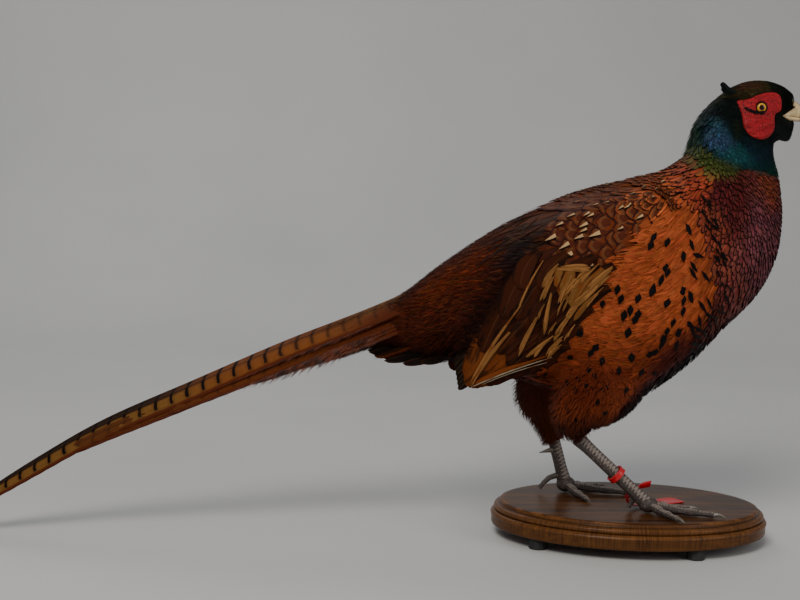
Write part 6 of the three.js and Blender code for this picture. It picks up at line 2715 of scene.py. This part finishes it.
@dataclass
class BandAndTag:
    """The red leg band, and the red strap and tag that it was sold with."""

    joint: Triple = RIGHT_JOINT
    ankle: Triple = RIGHT_ANKLE
    place: float = 0.52
    inner: float = 6.9
    outer: float = 8.3
    height: float = 5.4
    route: tuple[Triple, ...] = ((25.6, -2, 33.4), (18, -8.5, 33.4), (9, -15.5, 33.4), (1, -21.5, 33.6),
        (-5, -26.5, 35.2), (-8.6, -28.8, 39.5), (-8, -28, 45), (-2, -24.5, 48.6), (6, -19, 50),
        (14.5, -14.5, 50.8))
    width: float = 5.0
    thickness: float = 0.9
    tag_centre: Pair = (37.0, 5.0)
    tag_size: Pair = (21.0, 19.0)
    tag_turn: float = 25.0

    def build(self) -> None:
        """Builds all three."""
        red = MouldedFinish("red_plastic", srgb(178, 18, 30), srgb(204, 70, 66), 0.28).build()
        self.band(red)
        self.strap(red)
        self.tag(red)

    def band(self, red: Material) -> None:
        """The band round the shank, with rounded lips and a waist.

        Args:
            red: The finish.
        """
        joint, ankle = np.array(self.joint), np.array(self.ankle)
        axis = unit(ankle - joint)
        centre = joint + (ankle - joint) * self.place
        side = unit(np.cross(axis, np.array(Y_UP)))
        other = np.cross(axis, side)
        h, i, o = self.height / 2, self.inner, self.outer
        profile = np.array([(i, -h + 0.4), (i + 0.3, -h), (o - 0.4, -h), (o, -h + 0.5),
            (o - 0.25, -h + 1.2), (o - 0.5, 0), (o - 0.25, h - 1.2), (o, h - 0.5), (o - 0.4, h),
            (i + 0.3, h), (i, h - 0.4), (i, 0)])
        turn = round_turn(64)
        ring = side * np.cos(turn)[:, None] + other * np.sin(turn)[:, None]
        points = centre + profile[:, None, :1] * ring[None] + profile[:, None, 1:] * axis
        wrapped = np.concatenate([points, points[:1]])
        faces, _ = grid(len(wrapped), 64, True)
        band = make_piece("band_ring", points.reshape(-1, 3), faces % (len(points) * 64))
        keep_piece(face_out(band), red, "red_plastic", "leg_band")

    def strap(self, red: Material) -> None:
        """The bent strap, a flat strip with rounded edges and two moulded ribs.

        Args:
            red: The finish.
        """
        line = polyline(self.route, 90)
        run = unit(np.gradient(line, axis=0))
        across = unit(np.cross(run, np.array([0.0, 0.0, 1.0])) + np.array([1e-6, 0, 0]))
        for i in range(1, len(across)):
            if across[i] @ across[i - 1] < 0:
                across[i] = -across[i]
        up = np.cross(across, run)
        w, t = self.width / 2, self.thickness / 2
        ring = np.array([(-w, 0), (-w + 0.25, t), (-w + 0.9, t), (-w + 1.1, t * 0.55), (0, t * 0.55),
            (w - 1.1, t * 0.55), (w - 0.9, t), (w - 0.25, t), (w, 0), (w - 0.25, -t), (0, -t),
            (-w + 0.25, -t)])
        free = np.linspace(0, 1, len(line))[:, None]
        lean = 1.25 * smoothstep(0.7, 0.9, free)
        across, up = across * np.cos(lean) + up * np.sin(lean), up * np.cos(lean) - across * np.sin(lean)
        broad = (1 + 0.3 * smoothstep(0.75, 0.95, free))[:, :, None]
        rings = line[:, None] + across[:, None] * ring[None, :, :1] * broad + up[:, None] * ring[None, :, 1:]
        strap = face_out(make_piece("strap_band", *closed_rings(rings)))
        keep_piece(strap, red, "red_plastic", "tag_strap")

    def tag(self, red: Material) -> None:
        """The blank tag, a thin plate with round corners and a raised rim.

        Args:
            red: The finish.
        """
        low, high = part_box("tag")
        top = (high.z - PART.shift()[2]) * MM
        base = (low.z - PART.shift()[2]) * MM
        a, b = self.tag_size[0] / 2, self.tag_size[1] / 2
        turn = round_turn(96)
        power = 2 / 7
        c, s = np.cos(turn), np.sin(turn)
        shape = np.stack([a * np.sign(c) * np.abs(c) ** power, b * np.sign(s) * np.abs(s) ** power], 1)
        steps = ((0.0, top - 0.25), (0.8, top - 0.25), (0.86, top), (0.96, top), (1.0, top - 0.3),
            (1.0, base + 0.2), (0.97, base), (0.0, base))
        r = math.radians(self.tag_turn)
        spin = np.array([[math.cos(r), math.sin(r)], [-math.sin(r), math.cos(r)]])
        rings = []
        for share, z in steps:
            flat = np.array(self.tag_centre) + (shape * max(share, 1e-3)) @ spin
            rings.append(np.concatenate([flat, np.full((96, 1), z)], 1))
        faces, _ = grid(len(steps), 96, True)
        tag = make_piece("tag_plate", np.concatenate(rings), faces)
        keep_piece(face_out(tag), red, "red_plastic", "tag")


@dataclass
class Studio:
    """Camera, lights, floor and wall."""

    lens: float = 76.5
    azimuth: float = -6.0
    down: float = 5.6512
    roll: float = 1.8
    eye: Triple = (-357.41, -1432.56, 347.06)
    aim: Triple = (0.15, 0.0, 0.2)
    lamps: tuple[tuple[str, Triple, float, float, Colour],
        ...] = (("key", (-0.6, -1.7, 1.7), 0.9, 36.0, (1.0, 0.96, 0.9)),
        ("front", (1.6, -1.2, 0.9), 1.0, 9.0, (1.0, 0.98, 0.95)),
        ("back", (-0.4, 1.4, 1.6), 1.2, 7.0, (0.95, 0.98, 1.0)))

    def camera(self) -> None:
        """The camera."""
        a, p, r = (math.radians(v) for v in (self.azimuth, self.down, self.roll))
        ahead = Vector((-math.sin(a) * math.cos(p), math.cos(a) * math.cos(p), -math.sin(p)))
        right = Vector((math.cos(a), math.sin(a), 0))
        up = right.cross(ahead)
        across = right * math.cos(r) + up * math.sin(r)
        upright = up * math.cos(r) - right * math.sin(r)
        data = bpy.data.cameras.new("camera")
        data.lens, data.sensor_width, data.clip_start, data.clip_end = self.lens, 36.0, 0.05, 50.0
        camera = linked("camera", data)
        turned = Matrix((across, upright, -ahead)).transposed().to_4x4()
        camera.matrix_world = Matrix.Translation(Vector(PART.place(np.array(self.eye)))) @ turned
        bpy.context.scene.camera = camera

    def light(self, name: str, spot: Triple, size: float, watts: float, colour: Colour) -> None:
        """One soft area light.

        Args:
            name: Its name.
            spot: Where it stands, in metres.
            size: Its side, in metres.
            watts: Its power.
            colour: Its colour.
        """
        data = bpy.data.lights.new(name, "AREA")
        data.shape, data.size, data.energy, data.color = "SQUARE", size, watts, colour
        lamp = linked(name, data)
        lamp.location = spot
        lamp.rotation_euler = (Vector(self.aim) - Vector(spot)).to_track_quat("-Z", "Y").to_euler()

    def stage(self) -> None:
        """A pale floor that turns up into a wall behind the bird."""
        across = np.linspace(-4000, 4000, 9)
        steps = [(-3500.0, 0.0), (0.0, 0.0), (1200.0, 0.0)]
        steps += [(1200 + 800 * math.sin(a), 800 - 800 * math.cos(a))
            for a in np.linspace(0.1, math.pi / 2, 14)]
        steps += [(2000.0, 3500.0)]
        points = np.array([[(x, y, z) for x in across] for y, z in steps]).reshape(-1, 3)
        faces, _ = grid(len(steps), len(across), False)
        floor = make_piece("floor_sweep", points, faces)
        g = Graph("pale_floor")
        cloud = g.noise(g.place(), 3.0, 3.0)
        colour = g.blend(srgb(204, 203, 200), srgb(190, 190, 189), cloud)
        floor.data.materials.append(g.surface(Base_Color=colour, Roughness=0.8))

    def build(self) -> None:
        """Sets up the studio."""
        self.camera()
        self.stage()
        for lamp in self.lamps:
            self.light(*lamp)
        world = bpy.data.worlds.new("studio")
        world.use_nodes = True
        sky = world.node_tree.nodes["Background"].inputs
        sky["Color"].default_value, sky["Strength"].default_value = (0.92, 0.94, 1.0, 1.0), 0.3
        bpy.context.scene.world = world


def spurs_and_claws() -> None:
    """Dresses the spurs, claws and hind toes that the frame carries."""
    claw = HornFinish("claw_horn", srgb(112, 104, 94), srgb(48, 42, 38), 0.36).build()
    skin = bpy.data.materials["leg_skin"]
    for side in Side:
        for toe in ("outer", "middle", "inner"):
            dress_node(f"claw_{toe}_{side.word}", claw)
        dress_node(f"spur_{side.word}", claw)
        dress_node(f"toe_hind_{side.word}", skin)


def main() -> None:
    """Builds the model, piece by piece."""
    logging.basicConfig(level=logging.INFO, format="%(message)s")
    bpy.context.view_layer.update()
    Studio().build()
    skin = Skin()
    skin.build()
    skin.thigh_coats()
    Plumage().build()
    Head().build()
    Wings().build()
    Tail().build()
    Legs().build()
    spurs_and_claws()
    Mount().build()
    BandAndTag().build()


if __name__ == "__main__":
    main()
